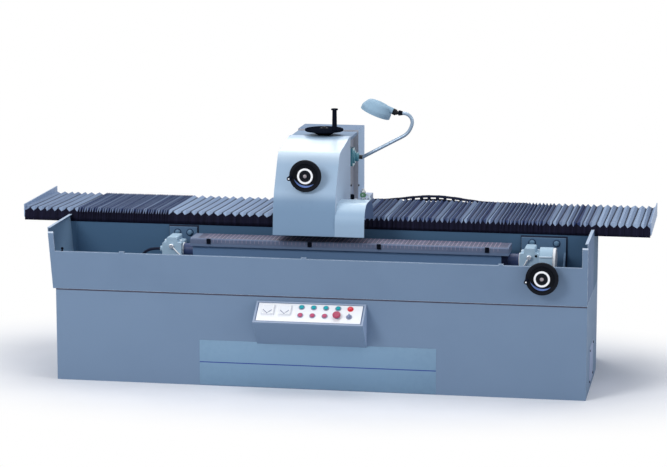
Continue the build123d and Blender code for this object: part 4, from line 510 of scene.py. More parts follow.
# %% Blocks and beam
LEFT_SEAL, RIGHT_SEAL, DRUM_SEAL, BEAM_COLLAR = 0.0048, 0.0052, 0.0138, 0.028
block_end, beam_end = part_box("bearing_block")[1].x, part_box("table_beam")[1].x
gearbox_low, gearbox_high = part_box("worm_gearbox")
block_blue = spray((168, 194, 212), (226, 236, 243), (148, 176, 198), radius=0.002)
white_mould = mould((238, 240, 242), (250, 250, 250), gloss=0.45)
beam_blue = spray((102, 130, 164), (140, 166, 194), (86, 114, 148))
collar_black = mould((20, 26, 48), (50, 60, 88), gloss=0.5)
finish("left_block", "bearing_block", block_blue, [(white_mould, past(RIGHT, block_end - LEFT_SEAL))])
finish("right_block", "worm_gearbox", block_blue, [
    (white_mould, past(LEFT, -gearbox_low.x - RIGHT_SEAL)),
    (white_mould, past(RIGHT, gearbox_high.x - DRUM_SEAL))])
finish("beam_finish", "table_beam", beam_blue, [(collar_black, past(RIGHT, beam_end - BEAM_COLLAR))])
print("white seals on the blocks, dark collar on the beam")

# %% Grinding head
RIGHT_SIDE = looking(RIGHT, 0.8)
BROW, CROWN, GUARD_TOP = (0.912, 0.966), (1.08, 1.168), (0.855, 0.905)
CROWN_BACK, CROWN_TOP = (-0.02, 0.05), 1.16


def even_blue(colour, edge, stain, gloss=0.4):
    """Even paint of the head's sheets, with narrow edges and hardly a stain."""
    return spray(colour, edge, stain, radius=0.0015, gloss=gloss, stains=0.06)


# painted light on the head cover: paler up the brow, a painted highlight on the crown, painted shade on the
# crown's rear, and the right side painted lighter
cover_front = even_blue((120, 147, 174), (140, 168, 194), (116, 143, 171), gloss=0.3)
brow_painted_light = even_blue((154, 178, 201), (170, 192, 211), (151, 175, 199))
crown_painted_highlight = even_blue((206, 222, 234), (214, 228, 238), (200, 217, 230))
crown_rear_painted_shade = even_blue((148, 173, 197), (162, 186, 208), (144, 169, 194))
cover_side_painted_light = even_blue((184, 201, 220), (198, 212, 228), (176, 194, 214), gloss=0.8)
finish("cover_finish", "head_cover", cover_front, [
    (brow_painted_light, fade(UP, *BROW)), (crown_painted_highlight, fade(UP, *CROWN)),
    (crown_rear_painted_shade, both(fade(BACK, *CROWN_BACK), past(UP, CROWN_TOP))), (cover_side_painted_light, RIGHT_SIDE)],
    {**SATIN, "Coat Roughness": 0.38}, coat=(0.35, RIGHT_SIDE))
# painted light on the guard: a painted highlight on its crest and painted shade on its right end
guard_light = even_blue((150, 176, 200), (176, 200, 218), (146, 172, 198), gloss=0.3)
guard_crest_painted_highlight = even_blue((176, 200, 218), (190, 211, 226), (170, 195, 214), gloss=0.3)
guard_end_painted_shade = spray((84, 104, 138), (150, 168, 194), (74, 94, 128), gloss=0.8)
finish("guard_finish", "wheel_guard", guard_light,
       [(guard_crest_painted_highlight, fade(UP, *GUARD_TOP)), (guard_end_painted_shade, RIGHT_SIDE)],
       {**SATIN, "Coat Roughness": 0.35}, coat=(0.5, RIGHT_SIDE))
print("head painted paler towards its crown")

# %% Column and slide
SLIDE_FOOT = 0.905
# painted light on the column: its right side lighter, its top darker as painted shade, and its front way
# grey and lightened as painted light where the head shades it
column_blue = spray((146, 166, 190), (176, 192, 212), (136, 156, 182), gloss=0.7)
column_side_painted_light = spray((184, 206, 230), (200, 216, 234), (172, 194, 220), gloss=0.7)
column_top_painted_shade = spray((112, 131, 156), (144, 162, 186), (104, 123, 150), gloss=0.7)
column_way_grey_and_painted_light = spray((184, 186, 194), (196, 198, 204), (164, 166, 176))
finish("column_finish", "column", column_blue,
       [(column_side_painted_light, RIGHT_SIDE), (column_top_painted_shade, looking(UP)), (column_way_grey_and_painted_light, looking(FRONT))])
slide_grey = spray((150, 154, 166), (168, 172, 182), (134, 138, 152))
slide_blue = spray((152, 164, 184), (176, 186, 202), (134, 146, 168))
finish("slide_finish", "head_slide", slide_grey, [(slide_blue, past(DOWN, -SLIDE_FOOT))])
print("column and slide painted by side and height")

# %% Trough
HEM, TROUGH_REACH, CORNER_FRONT = 0.008, 1.2, -0.077
hem_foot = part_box("coolant_trough")[1].z - HEM
# painted highlight: the pale edge colour and its wide radius draw a bright line along the trough's lip and
# edges
trough_blue = spray((116, 137, 162), (216, 228, 240), (98, 119, 144), radius=0.004, gloss=0.62)
hem_painted_highlight = spray((208, 220, 234), (236, 242, 246), (190, 204, 222), radius=0.001, gloss=0.5)
end_hem_painted_highlight = spray((172, 188, 208), (206, 216, 228), (158, 174, 196), radius=0.001, gloss=0.5)
end_inside_painted_light = spray((118, 146, 172), (186, 202, 224), (98, 126, 152), gloss=0.62)
end_outside_painted_shade = spray((98, 120, 150), (160, 178, 202), (84, 106, 136), gloss=0.62)
# painted highlight: the hem and the ear tops above hem_foot are painted near white
finish("trough_finish", "coolant_trough", trough_blue, [(hem_painted_highlight, past(UP, hem_foot))])
# painted light and shade on the end panels: the left panel's inner face lighter, the right panel's outer
# face darker, the strip at their back in the bed's darker blue as painted shade, and their tops lighter as a
# painted highlight
finish("panel_finish", "", trough_blue, [
    (end_inside_painted_light, both(looking(RIGHT), past(LEFT, TROUGH_REACH))),
    (end_outside_painted_shade, both(looking(RIGHT), past(RIGHT, TROUGH_REACH))),
    (bed_shaded_blue, both(looking(FRONT), past(BACK, CORNER_FRONT))), (end_hem_painted_highlight, looking(UP, 0.8))])
print("trough hemmed in white from", round(hem_foot, 4), "up")

# %% Lamp and front handwheels
LAMP_SOCKET = 0.0966
LAMP_BALL, BALL_REACH = (0.2855, 0.215, 1.297), 0.0180
SHADE_RIM, SHADE_ALONG, SHADE_NECK = (0.1777, 0.215, 1.2907), (0.9205, 0, -0.3907), 0.0792
SHADE_CENTRE = (0.189, 0.215, 1.318)
lamp_black = mould((20, 22, 28), (58, 62, 72), gloss=0.5)
lamp_teal = spray((84, 148, 164), (140, 190, 200), (64, 124, 142), gloss=0.3)
arm_blue = spray((150, 170, 190), (190, 204, 218), (124, 146, 168), radius=0.001, gloss=0.3)
shade_blue = mould((142, 170, 190), (150, 177, 196), gloss=0.6, radius=0.0003)
grip_black = mould((18, 21, 28), (52, 60, 74), gloss=0.5)
finish("lamp_finish", "lamp_base", lamp_teal, [(lamp_black, past(RIGHT, LAMP_SOCKET))], {})
finish("arm_finish", "lamp_arm", arm_blue, [(lamp_black, near(LAMP_BALL, BALL_REACH))], {"Metallic": 0.3})
finish("shade_finish", "lamp_shade", shade_blue,
       [(white_mould, hollow(SHADE_CENTRE)), (lamp_black, past(SHADE_ALONG, SHADE_NECK, SHADE_RIM))],
       {"Specular IOR Level": 0.1})
# painted highlight: the stud's end past the hub limit is painted white
for name, wheel, hub in (("fine_wheel_finish", "fine_feed_handwheel", 0.409),
                         ("tilt_wheel_finish", "tilt_handwheel", 0.594)):
    finish(name, wheel, grip_black, [(white_mould, past(FRONT, hub))])
print("lamp and handwheels masked")

# %% Console and front panel
CONSOLE_RUN, CONSOLE_DROP, COLLAR_HEIGHT = 0.119, 0.086, 0.0026
PILOT_LEFT, STRIPE = 0.05, (0.1165, 0.1215)
console_low, console_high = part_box("console_box")
console_top = Vector((console_low.x, console_high.y, console_high.z))
console_out = Vector((0, -CONSOLE_DROP, CONSOLE_RUN)).normalized()
panel_white = spray((246, 247, 249), (250, 250, 250), (236, 240, 245), radius=0.001, stains=0.3)
collar_grey = mould((152, 156, 180), (196, 200, 214), gloss=0.22)
meter_white = spray((236, 238, 242), (250, 250, 250), (224, 228, 234), radius=0.0015)
pilot_red = mould((222, 34, 56), (244, 120, 124), gloss=0.1)
panel_blue = spray((126, 156, 182), (146, 176, 200), (116, 146, 174), gloss=0.5)
stripe_blue = mould((58, 80, 148), (90, 112, 170), gloss=0.5)
# painted light: the console box's right side is painted lighter
console_side_painted_light = spray((158, 178, 206), (190, 206, 226), (146, 166, 194), gloss=0.6)
finish("console_finish", "console_panel", panel_white,
       [(collar_grey, past(console_out, COLLAR_HEIGHT, console_top))], {})
finish("instrument_finish", "panel_instruments", meter_white, [(pilot_red, past(RIGHT, PILOT_LEFT))], {})
finish("front_panel_finish", "", panel_blue, [(stripe_blue, between(UP, *STRIPE))])
finish("console_paint", "console_box", cabinet_blue, [(console_side_painted_light, RIGHT_SIDE)])
print("finishes so far", len(finishes) - 1)

# %% [markdown]
# The magnetic chuck shows rows of poles across its face, parted by pale lines that fold over its front
# edge, and a light border. The lines could be cut as grooves, but they are far too many and too fine, so
# they are drawn by the place along the chuck: the share of each pole's pitch decides between line and
# pole, and the height and depth say which side it is.

# %% Chuck face
POLE_PITCH, LINE_SHARE = 0.021, 0.16
chuck_low, chuck_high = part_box("magnetic_chuck")
POLES_ALONG = (chuck_low.x + 0.036, chuck_high.x - 0.008)
LINES_ALONG = (chuck_low.x + 0.076, chuck_high.x - 0.044)
POLES_ACROSS = (chuck_low.y + 0.012, chuck_high.y - 0.006)
CHUCK_FACE, CHUCK_FRONT = chuck_high.z - 0.0002, chuck_low.y + 0.0015
LINE_FOOT, CHUCK_FOOT = chuck_high.z - 0.019, chuck_low.z + 0.0125


def chuck_finish():
    material = new_material("chuck_finish", "magnetic_chuck")
    tree = material.node_tree
    run = maths(tree, "ADD", along(tree, RIGHT), 1.0)
    cell = maths(tree, "FRACT", maths(tree, "DIVIDE", run, POLE_PITCH))
    line = maths(tree, "LESS_THAN", cell, LINE_SHARE)
    line = maths(tree, "MULTIPLY", line, between(RIGHT, *LINES_ALONG)(tree))
    poles = both(between(BACK, *POLES_ACROSS), past(UP, CHUCK_FACE))(tree)
    dark = maths(tree, "MULTIPLY", poles, between(RIGHT, *POLES_ALONG)(tree))
    front = both(past(FRONT, -CHUCK_FRONT), past(UP, LINE_FOOT))(tree)
    made = laid(tree, grind((114, 126, 150), (94, 106, 132), stretch=(300, 6, 300), gloss=0.5))
    deep = mixed(tree, noise(tree, place_on(tree), 26.0, 2.0), srgb(42, 46, 66), srgb(110, 114, 138))
    colour = mixed(tree, past(DOWN, -CHUCK_FOOT)(tree), made["Base Color"], srgb(104, 122, 150))
    colour = mixed(tree, dark, colour, deep)
    drawn = maths(tree, "ADD", maths(tree, "MULTIPLY", poles, 0.5), maths(tree, "MULTIPLY", front, 0.30))
    colour = mixed(tree, maths(tree, "MULTIPLY", line, drawn), colour, srgb(196, 168, 186))
    return dress(material, {**made, "Base Color": colour}, {"Metallic": 0.1, "Specular IOR Level": 0.12})


print(chuck_finish().name, "with poles every", POLE_PITCH * 1000, "mm")
print("nodes not dressed yet:", sorted(set(nodes) - dressed))

# %% [markdown]
# ## Making a piece
# A piece could be added with the editor's own operators, which need a selection and a mode. A bmesh needs
# neither, so each piece is modelled in one, put in its place and given to a CAD body to ride on. Turned
# pieces start as a profile that is spun round an axis; bolts start as a six-sided cone; plates start as a
# bevelled cube.

# %% Placing and finishing
def facing(direction, place):
    """Matrix that turns +Z towards a direction and moves the origin to a place."""
    turn = Vector(direction).to_track_quat("Z", "Y").to_matrix().to_4x4()
    return Matrix.Translation(place) @ turn


def placed(shape, matrix):
    bmesh.ops.transform(shape, matrix=matrix, verts=shape.verts)
    return shape


def add_shape(target, shape, matrix=Matrix()):
    """Adds a finished shape to a piece, in its place."""
    mesh = bpy.data.meshes.new("shape")
    placed(shape, matrix).to_mesh(mesh)
    shape.free()
    target.from_mesh(mesh)
    bpy.data.meshes.remove(mesh)


def piece(name, shape, body, material, sharp=35):
    """Object at the origin with its place in its mesh, smooth but for its sharp edges."""
    mesh = bpy.data.meshes.new(name)
    shape.to_mesh(mesh)
    shape.free()
    mesh.shade_smooth()
    mesh.set_sharp_from_angle(angle=radians(sharp))
    mesh.materials.append(finishes[material])
    made = bpy.data.objects.new(name, mesh)
    scene.collection.objects.link(made)
    if body:
        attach(made, body)
    print(name, len(mesh.polygons), "faces")
    return made


def fitted(name, shape, places, direction, body, material):
    """One piece of several copies of a shape, each standing on a place and looking along a direction."""
    whole = bmesh.new()
    for place in places:
        add_shape(whole, shape.copy(), facing(direction, place))
    shape.free()
    return piece(name, whole, body, material)


print("a piece is placed, merged and dressed")

# %% Turned, boxed and six-sided shapes
def turned_shape(profile, steps):
    """Spins a profile of (radius, height) points round the Z axis."""
    shape = bmesh.new()
    points = [shape.verts.new((radius, 0, height)) for radius, height in profile]
    edges = [shape.edges.new(pair) for pair in zip(points, points[1:])]
    bmesh.ops.spin(shape, geom=points + edges, cent=(0, 0, 0), axis=UP, angle=2 * pi, steps=steps,
                   use_merge=True)
    bmesh.ops.remove_doubles(shape, verts=shape.verts, dist=1e-6)
    bmesh.ops.recalc_face_normals(shape, faces=shape.faces)
    return shape


def bevelled(shape, width):
    bmesh.ops.bevel(shape, geom=shape.edges, offset=width, segments=2, profile=0.5, affect="EDGES",
                    material=-1)
    return shape


def box_shape(low, high, bevel):
    """Box between two corners with bevelled edges."""
    shape = bmesh.new()
    bmesh.ops.create_cube(shape, size=1)
    low, high = Vector(low), Vector(high)
    bmesh.ops.scale(shape, vec=high - low, verts=shape.verts)
    bmesh.ops.translate(shape, vec=(low + high) / 2, verts=shape.verts)
    return bevelled(shape, bevel)


def hexagon_shape(radius, height):
    """Six-sided prism about the origin, with bevelled edges."""
    shape = bmesh.new()
    bmesh.ops.create_cone(shape, cap_ends=True, segments=6, radius1=radius, radius2=radius, depth=height)
    return bevelled(shape, radius * 0.1)


print("shapes: turned, boxed, six-sided")

# %% [markdown]
# ## Conduit and hose
# A black flexible conduit carries the chuck's current from the left bearing block to the bed, and a short
# clear hose leads from the coolant valve into the wheel guard. A tube could be swept as a mesh, but a
# curve keeps its route easy to change and gives its own length. Both follow the route points of the CAD
# source as the control points of one smooth NURBS curve with a round bevel. The bevel depth is 1 and each
# point's radius is the hose's own, so that the curve's box is as slim as the hose.

# %% Curves
def hose_curve(name, route, radius, material, body, node):
    """Round tube along a route, which takes the place of a CAD node."""
    curve = bpy.data.curves.new(name, "CURVE")
    curve.dimensions = "3D"
    curve.bevel_depth = 1.0
    curve.bevel_resolution = 4
    curve.resolution_u = 16
    curve.use_fill_caps = True
    spline = curve.splines.new("NURBS")
    spline.points.add(len(route) - 1)
    for point, place in zip(spline.points, route):
        point.co = (*place, 1)
        point.radius = radius
    spline.order_u = 3
    spline.use_endpoint_u = True
    curve.materials.append(material)
    made = bpy.data.objects.new(name, curve)
    scene.collection.objects.link(made)
    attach(made, body)
    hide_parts(node)
    return made


def curve_length(made):
    """Length of a curve's own line, read from the curve with its bevel off."""
    made.data.bevel_depth = 0
    line = bpy.data.meshes.new_from_object(made)
    made.data.bevel_depth = 1.0
    points = [vertex.co.copy() for vertex in line.vertices]
    length = sum((points[first] - points[second]).length for first, second in line.edge_keys)
    bpy.data.meshes.remove(line)
    print(made.name, round(length, 4), "metres long")
    return length


print("curves ready")

# %% Conduit
conduit_route = [(-0.846, -0.225, 0.637), (-0.894, -0.225, 0.637), (-0.938, -0.213, 0.611),
                 (-0.960, -0.175, 0.579), (-0.964, -0.133, 0.565), (-0.964, -0.091, 0.565)]
NUT_RADIUS, NUT_HEIGHT = 0.012, 0.016


def ribbed_conduit():
    """Black spiral conduit: rings along its length come from the curve's own UV."""
    material = new_material("ribbed_conduit")
    tree = material.node_tree
    made = laid(tree, mould((34, 38, 56), (80, 86, 106)))
    run = add_node(tree, "TexCoord")["UV"]
    rings = add_node(tree, "TexWave", {"Vector": run, "Scale": 14.0}, bands_direction="X")[1]
    relief = bumped(tree, rings, 0.7, 0.001, made["Normal"])
    return dress(material, {**made, "Normal": relief}, {"Specular IOR Level": 0.04})


conduit = hose_curve("conduit", conduit_route, 0.007, ribbed_conduit(), "machine",
                     "chuck_conduit")
nut_place = Vector(conduit_route[-1]) + Vector(BACK) * (NUT_HEIGHT / 2)
conduit_nut = fitted("conduit_nut", hexagon_shape(NUT_RADIUS, NUT_HEIGHT), [nut_place], BACK, "machine",
                     "turned_steel")
curve_length(conduit)

# %% Coolant hose
hose_route = [(0.185, -0.125, 0.92568), (0.209, -0.125, 0.92568), (0.209, -0.125, 0.88273)]
HOSE_FITTING = [(0.0044, 0.0), (0.0068, 0.0), (0.0068, 0.004), (0.0058, 0.005), (0.0058, 0.009),
                (0.0052, 0.010), (0.0044, 0.010), (0.0044, 0.0)]
FITTING_PLACE = (0.209, -0.125, 0.8870)
clear_tube = finish("clear_tube", "", mould((218, 232, 240), (242, 248, 250), gloss=0.12),
                    shader={"Transmission Weight": 0.55, "IOR": 1.45})
hose = hose_curve("hose", hose_route, 0.0043, clear_tube, "head", "coolant_hose")
hose_fitting = fitted("hose_fitting", turned_shape(HOSE_FITTING, 24), [FITTING_PLACE], UP, "head", "copper")
curve_length(hose)

# %% [markdown]
# ## Pleated way covers
# The two covers over the guideways are coated cloth, folded like an accordion over a U-shaped section: a
# top and two skirts. A cloth simulation would give looser folds than these stiff ones, so a section is
# drawn once as a chain of edges, and extruded from fold to fold. On a crest the corner is mitred, so the
# light top runs out in a tip that points down over the dark skirt; in a valley the section is drawn in.
# The pitch differs along the cover, open at the ends and bunched in the middle of the left one, and each
# fold leans a little differently, as cloth that has travelled for years does. The cloth is dark; the light
# of its top is a painted sheen whose tone differs from fold to fold, with painted shade in the valleys and
# in the bunched folds.

# %% Folds of the covers
LEFT_SEED, RIGHT_SEED = 0.7, 2.1
# A zone's tone is the strength of the painted sheen on its folds; the bunched zone's low tone is painted
# shade of its tight, deep folds.
LEFT_ZONES = [(7, 0.039, 0.010, 0.74, 0.12), (36, 0.0135, 0.006, 0.14, 0.50), (0, 0.043, 0.010, 0.97, 0.06)]
RIGHT_ZONES = [(8, 0.036, 0.010, 0.85, 0.14), (8, 0.030, 0.010, 0.40, 0.70), (12, 0.018, 0.009, 0.12, 0.30),
               (0, 0.0245, 0.009, 0.22, 0.45)]
left_low, left_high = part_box("bellows_left")
right_low, right_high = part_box("bellows_right")


def wobble(i, seed):
    """Repeatable small variation from -1 to 1 for fold number i."""
    return 0.6 * sin(i * 2.399 + seed) + 0.4 * sin(i * 5.131 + 2 * seed)


def cover_folds(length, zones, seed):
    """(pitch, depth, tone) of each fold; zones are (count, pitch, depth, tone, spread), count 0 fills up."""
    used = sum(zone[0] * zone[1] for zone in zones)
    folds = []
    for count, pitch, depth, tone, spread in zones:
        for _ in range(count or round((length - used) / pitch)):
            i = len(folds)
            odd = wobble(i, seed + 3)
            shade = min(1.0, max(0.0, tone + 1.3 * spread * odd * abs(odd)))
            folds.append((pitch * (1 + 0.2 * wobble(i, seed)), depth * (1 + 0.2 * wobble(i, seed + 9)),
                          shade))
    scale = length / sum(fold[0] for fold in folds)
    return [(pitch * scale, depth, tone) for pitch, depth, tone in folds]


left_folds = cover_folds(left_high.x - left_low.x, LEFT_ZONES, LEFT_SEED)
right_folds = cover_folds(right_high.x - right_low.x, RIGHT_ZONES, RIGHT_SEED)
print("folds", len(left_folds), len(right_folds))

# %% Section of a cover
COVER_FRONT, COVER_BACK = left_low.y - 0.0005, left_high.y
COVER_FOOT, COVER_TOP = left_low.z, left_high.z
FRONT_RISE, FRONT_SINK, BACK_SINK = 0.005, 0.6, 1.3
FLAP_OUT, FLAP_TOP, FLAP_DRAWN = 0.0068, 0.7555, 0.0008
FRONT_TIP, BACK_TIP, LEAST_TIP = 0.0195, 0.006, 0.0015
FRONT_INSET, BACK_INSET = 0.016, 0.006
CREASE, SAG = 0.0005, 0.0015
RUNS = (0, 0.05, 0.2, 0.4, 0.6, 0.8, 1)


def cover_section(share, depth, foot, fall):
    """(y, z, top) along the U section: share is 0 on a crest, 1 in a valley; top is 1 on the light side."""
    front = COVER_FRONT + share * FRONT_INSET
    back = COVER_BACK - share * BACK_INSET
    high = COVER_TOP + FRONT_RISE - share * depth * FRONT_SINK
    low = COVER_TOP - fall - share * depth * BACK_SINK
    tip = FRONT_TIP * (1 - share) + LEAST_TIP
    tail = BACK_TIP * (1 - share) + LEAST_TIP
    start, end = front + tip * 1.2, back - tail * 0.5
    flap = COVER_FRONT - FLAP_OUT + share * FLAP_DRAWN
    points = [(flap, foot, 0), (flap, FLAP_TOP, 0), (front, high - tip - CREASE, 0), (front, high - tip, 1)]
    for run in RUNS:
        points.append((start + run * (end - start), high + run * (low - high) - SAG * sin(pi * run), 1))
    return points + [(back, low - tail, 1), (back, low - tail - CREASE, 0),
                     (back, (COVER_FOOT + low) / 2, 0), (back, COVER_FOOT, 0)]


print("section of", len(cover_section(0, 0.01, COVER_FOOT, 0)), "points")

# %% Sections along a cover
TUCK = 0.0011
CREST, TUCKED, VALLEY, RISING = 0.0, 0.05, 1.0, 0.95


def cover_rings(fixed, moving, folds, seed, lean):
    """(x, share, depth, tone, lean) of each section along a cover, with a tuck at crests and valleys."""
    way = 1 if moving > fixed else -1
    tuck = way * TUCK
    # painted shade: the right-facing flank of each fold gets 0.8 of the fold's tone
    near_flank_shading, far_flank_shading = (0.8, 1.0) if way > 0 else (1.0, 0.8)
    rings = []
    x = fixed
    for i, (pitch, depth, tone) in enumerate(folds):
        crest, valley, after = [lean * wobble(2 * i + k, seed + 5) if 2 * i + k else 0.0 for k in range(3)]
        middle = x + way * pitch * (0.5 + 0.08 * wobble(i, seed + 7))
        end = x + way * pitch
        for place, share, flank, turn in (
                (x, CREST, near_flank_shading, crest), (x + tuck, TUCKED, near_flank_shading, crest),
                (middle - tuck, RISING, near_flank_shading, valley), (middle, VALLEY, near_flank_shading, valley),
                (middle + tuck, RISING, far_flank_shading, valley), (end - tuck, TUCKED, far_flank_shading, after)):
            rings.append((place, share, depth, tone * flank, turn))
        x = end
    return rings + [(moving, CREST, 0.01, folds[-1][2], 0.0)]


print("folds run from the end plates to the saddle")

# %% Cloth of the covers
COVER_LAYERS = ("crest", "tone", "top")


def cover_cloth():
    """Dark coated cloth with a fine weave; its light top is a painted sheen with a tone for each fold, with
    a painted highlight on the crests and painted shade in the valleys.
    """
    material = new_material("cover_cloth")
    tree = material.node_tree
    place = place_on(tree)
    crest, tone, top = [add_node(tree, "Attribute", attribute_name=name)["Fac"] for name in COVER_LAYERS]
    cloud = noise(tree, place, 7.0, 5.0)
    shade = maths(tree, "ADD", tone, maths(tree, "MULTIPLY", maths(tree, "SUBTRACT", cloud, 0.5), 0.25))
    # painted sheen: the top's light colour grows with each fold's tone; painted shade darkens the valleys, a
    # painted highlight lightens the crests, and the skirts are lighter towards their crests as painted light
    light = mixed(tree, shade, srgb(45, 58, 93), srgb(150, 169, 195))
    light = mixed(tree, ranged(tree, crest, 0.03, 0.35), srgb(20, 24, 44), light)
    light = mixed(tree, ranged(tree, crest, 0.90, 1.0, 0.0, 0.3), light, srgb(168, 184, 208))
    streaks = noise(tree, vectors(tree, "MULTIPLY", place, (130, 0, 6)), 1.0, 2.0)
    streaks = maths(tree, "MULTIPLY", streaks, ranged(tree, crest, 0.0, 1.0, 0.6, 1.0))
    skirt = mixed(tree, streaks, srgb(12, 12, 20), srgb(38, 38, 60))
    weave = noise(tree, place, 700.0, 2.0)
    made = {"Base Color": mixed(tree, ranged(tree, top, 0.35, 0.65), skirt, light),
            "Roughness": ranged(tree, cloud, 0.3, 0.7, 0.55, 0.7),
            "Normal": bumped(tree, weave, 0.12, 0.0005)}
    return dress(material, made, {"Specular IOR Level": 0.02})


print("cloth", cover_cloth().name)

# %% Extruding a cover
def pleated_cover(rings, foot, fall):
    """Extrudes the section's chain of edges from ring to ring; layers keep its crest, tone and top."""
    shape = bmesh.new()
    number = shape.verts.layers.int.new("number")
    layers = [shape.verts.layers.float.new(name) for name in COVER_LAYERS]

    def settle(vertex, x, share, depth, tone, lean):
        y, z, top = cover_section(share, depth, foot, fall)[vertex[number]]
        run = (y - COVER_FRONT) / (COVER_BACK - COVER_FRONT) - 0.5
        vertex.co = (x + lean * run, y, z)
        for layer, value in zip(layers, (1 - share, tone, top)):
            vertex[layer] = value

    chain = [shape.verts.new((0, 0, i)) for i in range(len(cover_section(0, 0.01, foot, fall)))]
    edges = [shape.edges.new(pair) for pair in zip(chain, chain[1:])]
    for i, vertex in enumerate(chain):
        vertex[number] = i
        settle(vertex, *rings[0])
    for ring in rings[1:]:
        made = bmesh.ops.extrude_edge_only(shape, edges=edges)["geom"]
        fresh = {v for v in made if isinstance(v, bmesh.types.BMVert)}
        for vertex in fresh:
            settle(vertex, *ring)
        edges = [e for e in made if isinstance(e, bmesh.types.BMEdge) and set(e.verts) <= fresh]
    bmesh.ops.recalc_face_normals(shape, faces=shape.faces)
    return shape, sum(f.calc_area() for f in shape.faces)


print("covers are extruded ring by ring")

# %% Way covers
CLOTH_THICKNESS = 0.0015
for name, node, fixed, moving, folds, seed, lean, foot, fall in (
        ("way_cover_left", "bellows_left", left_low.x, left_high.x, left_folds, LEFT_SEED,
         0.003, 0.7375, 0.011),
        ("way_cover_right", "bellows_right", right_high.x, right_low.x, right_folds, RIGHT_SEED,
         0.007, 0.742, -0.001)):
    shape, area = pleated_cover(cover_rings(fixed, moving, folds, seed, lean), foot, fall)
    cover = piece(name, shape, None, "cover_cloth", sharp=8)
    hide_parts(node)
    thick = cover.modifiers.new("cloth", "SOLIDIFY")
    thick.thickness = CLOTH_THICKNESS
    thick.offset = -1
    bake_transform(cover)
    print(name, len(folds), "folds,", round(area, 2), "square metres of cloth")

# %% [markdown]
# ## Cable chain
# The chain behind the right cover follows the carriage: its upper run moves with it, its lower run stays on
# the bed, and the loop between them travels at half the speed. Links that turn one by one would need a joint
# each, so each run is a merged copy of its CAD solids that takes the place of the CAD node. The links' form
# is that of the CAD solids.

# %% Cable chain
upper_low, upper_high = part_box("chain_upper_run")
lower_low, lower_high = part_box("chain_lower_run")


def merged_shape(node):
    """Copy of a CAD solid's mesh with its loose triangles joined."""
    shape = bmesh.new()
    shape.from_mesh(nodes[node].data)
    bmesh.ops.remove_doubles(shape, verts=shape.verts, dist=1e-6)
    return shape


for node, name, first, second, start, end, height in (
        ("chain_upper_run", "chain_links_upper", "carriage", "chain_loop", upper_low.x, upper_high.x, 0.78),
        ("chain_lower_run", "chain_links_lower", "machine", "carriage", lower_low.x,
         2 * lower_high.x - lower_low.x, 0.7)):
    run = piece(name, merged_shape(node), None, "chain_plastic")
    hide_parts(node)
    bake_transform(run)

# %% [markdown]
# ## Trough end panels
# The two end panels of the trough stop against the bed, and the front edge of the way covers hangs just
# in front of it. The sheets are notched at the rear so that the cloth runs past them. New panels could be
# bent up from plates, but the CAD panels have every bend already, so copies of them are sliced with
# planes in front of the notch, below it and behind it.

# %% Notched end panels
bed_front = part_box("bed")[0].y
NOTCH_FRONT = COVER_FRONT - FLAP_OUT - 0.0015
NOTCH_BACK = bed_front + 0.0002
NOTCH_FOOT = 0.7350


def sliced(shape, place, normal):
    """Keeps what lies behind a plane and closes the cut."""
    cut = bmesh.ops.bisect_plane(shape, geom=shape.verts[:] + shape.edges[:] + shape.faces[:], dist=1e-6,
                                 plane_co=place, plane_no=normal, clear_outer=True)
    rim = [part for part in cut["geom_cut"] if isinstance(part, bmesh.types.BMEdge)]
    bmesh.ops.holes_fill(shape, edges=rim, sides=0)
    return shape


panels = sliced(merged_shape("trough_end_panels"), (0, NOTCH_FRONT, 0), BACK)
for cut_y, upright in ((NOTCH_FRONT, UP), (NOTCH_BACK, DOWN)):
    behind = sliced(merged_shape("trough_end_panels"), (0, cut_y, 0), FRONT)
    add_shape(panels, sliced(behind, (0, 0, NOTCH_FOOT), upright))
print("open edges", sum(not edge.is_manifold for edge in panels.edges))
end_panels = piece("end_panels", panels, "machine", "panel_finish")
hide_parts("trough_end_panels")

# %% [markdown]
# ## Handwheels
# The handwheels are black plastic. The two front ones have a white ring round the hub, a bright hub nut and
# a dished web, and low in the dish a blue crescent that is a painted reflection. Paint alone would look flat
# from the side, so each trim is modelled: ring, nut and dish as turned profiles, the crescent of painted
# reflection between two arcs. They are made for a wheel that lies flat and then stood up on the wheel's
# plane.

# %% Turned trims
WHEEL_RING = [(0.0295, 0.0085), (0.0295, 0.0099), (0.0303, 0.0106), (0.0384, 0.0106), (0.0393, 0.0098),
              (0.0404, 0.0062), (0.0398, 0.0058), (0.0384, 0.0086), (0.0295, 0.0085)]
WHEEL_NUT = [(0.0, 0.0172), (0.0045, 0.0168), (0.0078, 0.0154), (0.0092, 0.0138), (0.0098, 0.0130),
             (0.0098, 0.0088), (0.0, 0.0088)]
WHEEL_DISH = [(0.0436, 0.0031), (0.0500, 0.0034), (0.0550, 0.0043), (0.0588, 0.0062), (0.0610, 0.0085),
              (0.0619, 0.0080), (0.0619, 0.0029), (0.0436, 0.0029), (0.0436, 0.0031)]
TOP_NUT = [(0.0, 0.0170), (0.0080, 0.0160), (0.0130, 0.0130), (0.0150, 0.0100), (0.0195, 0.0095),
           (0.0200, 0.0060), (0.0, 0.0060)]
print("wheel ring from", WHEEL_RING[0][0], "to", WHEEL_RING[5][0], "metres")

# %% Blue crescent of painted reflection
REFLECTION_MIDDLE = radians(257)
REFLECTION_OUT = Vector((cos(REFLECTION_MIDDLE), sin(REFLECTION_MIDDLE), 0))
INNER_ARC = (0.0575, 0.0, radians(62))
OUTER_ARC = (0.0731, -0.0256, radians(43.5))
DISH_FOOT, DISH_LOW, DISH_RISE, REFLECTION_THICKNESS = 0.0475, 0.0037, 0.24, 0.0006


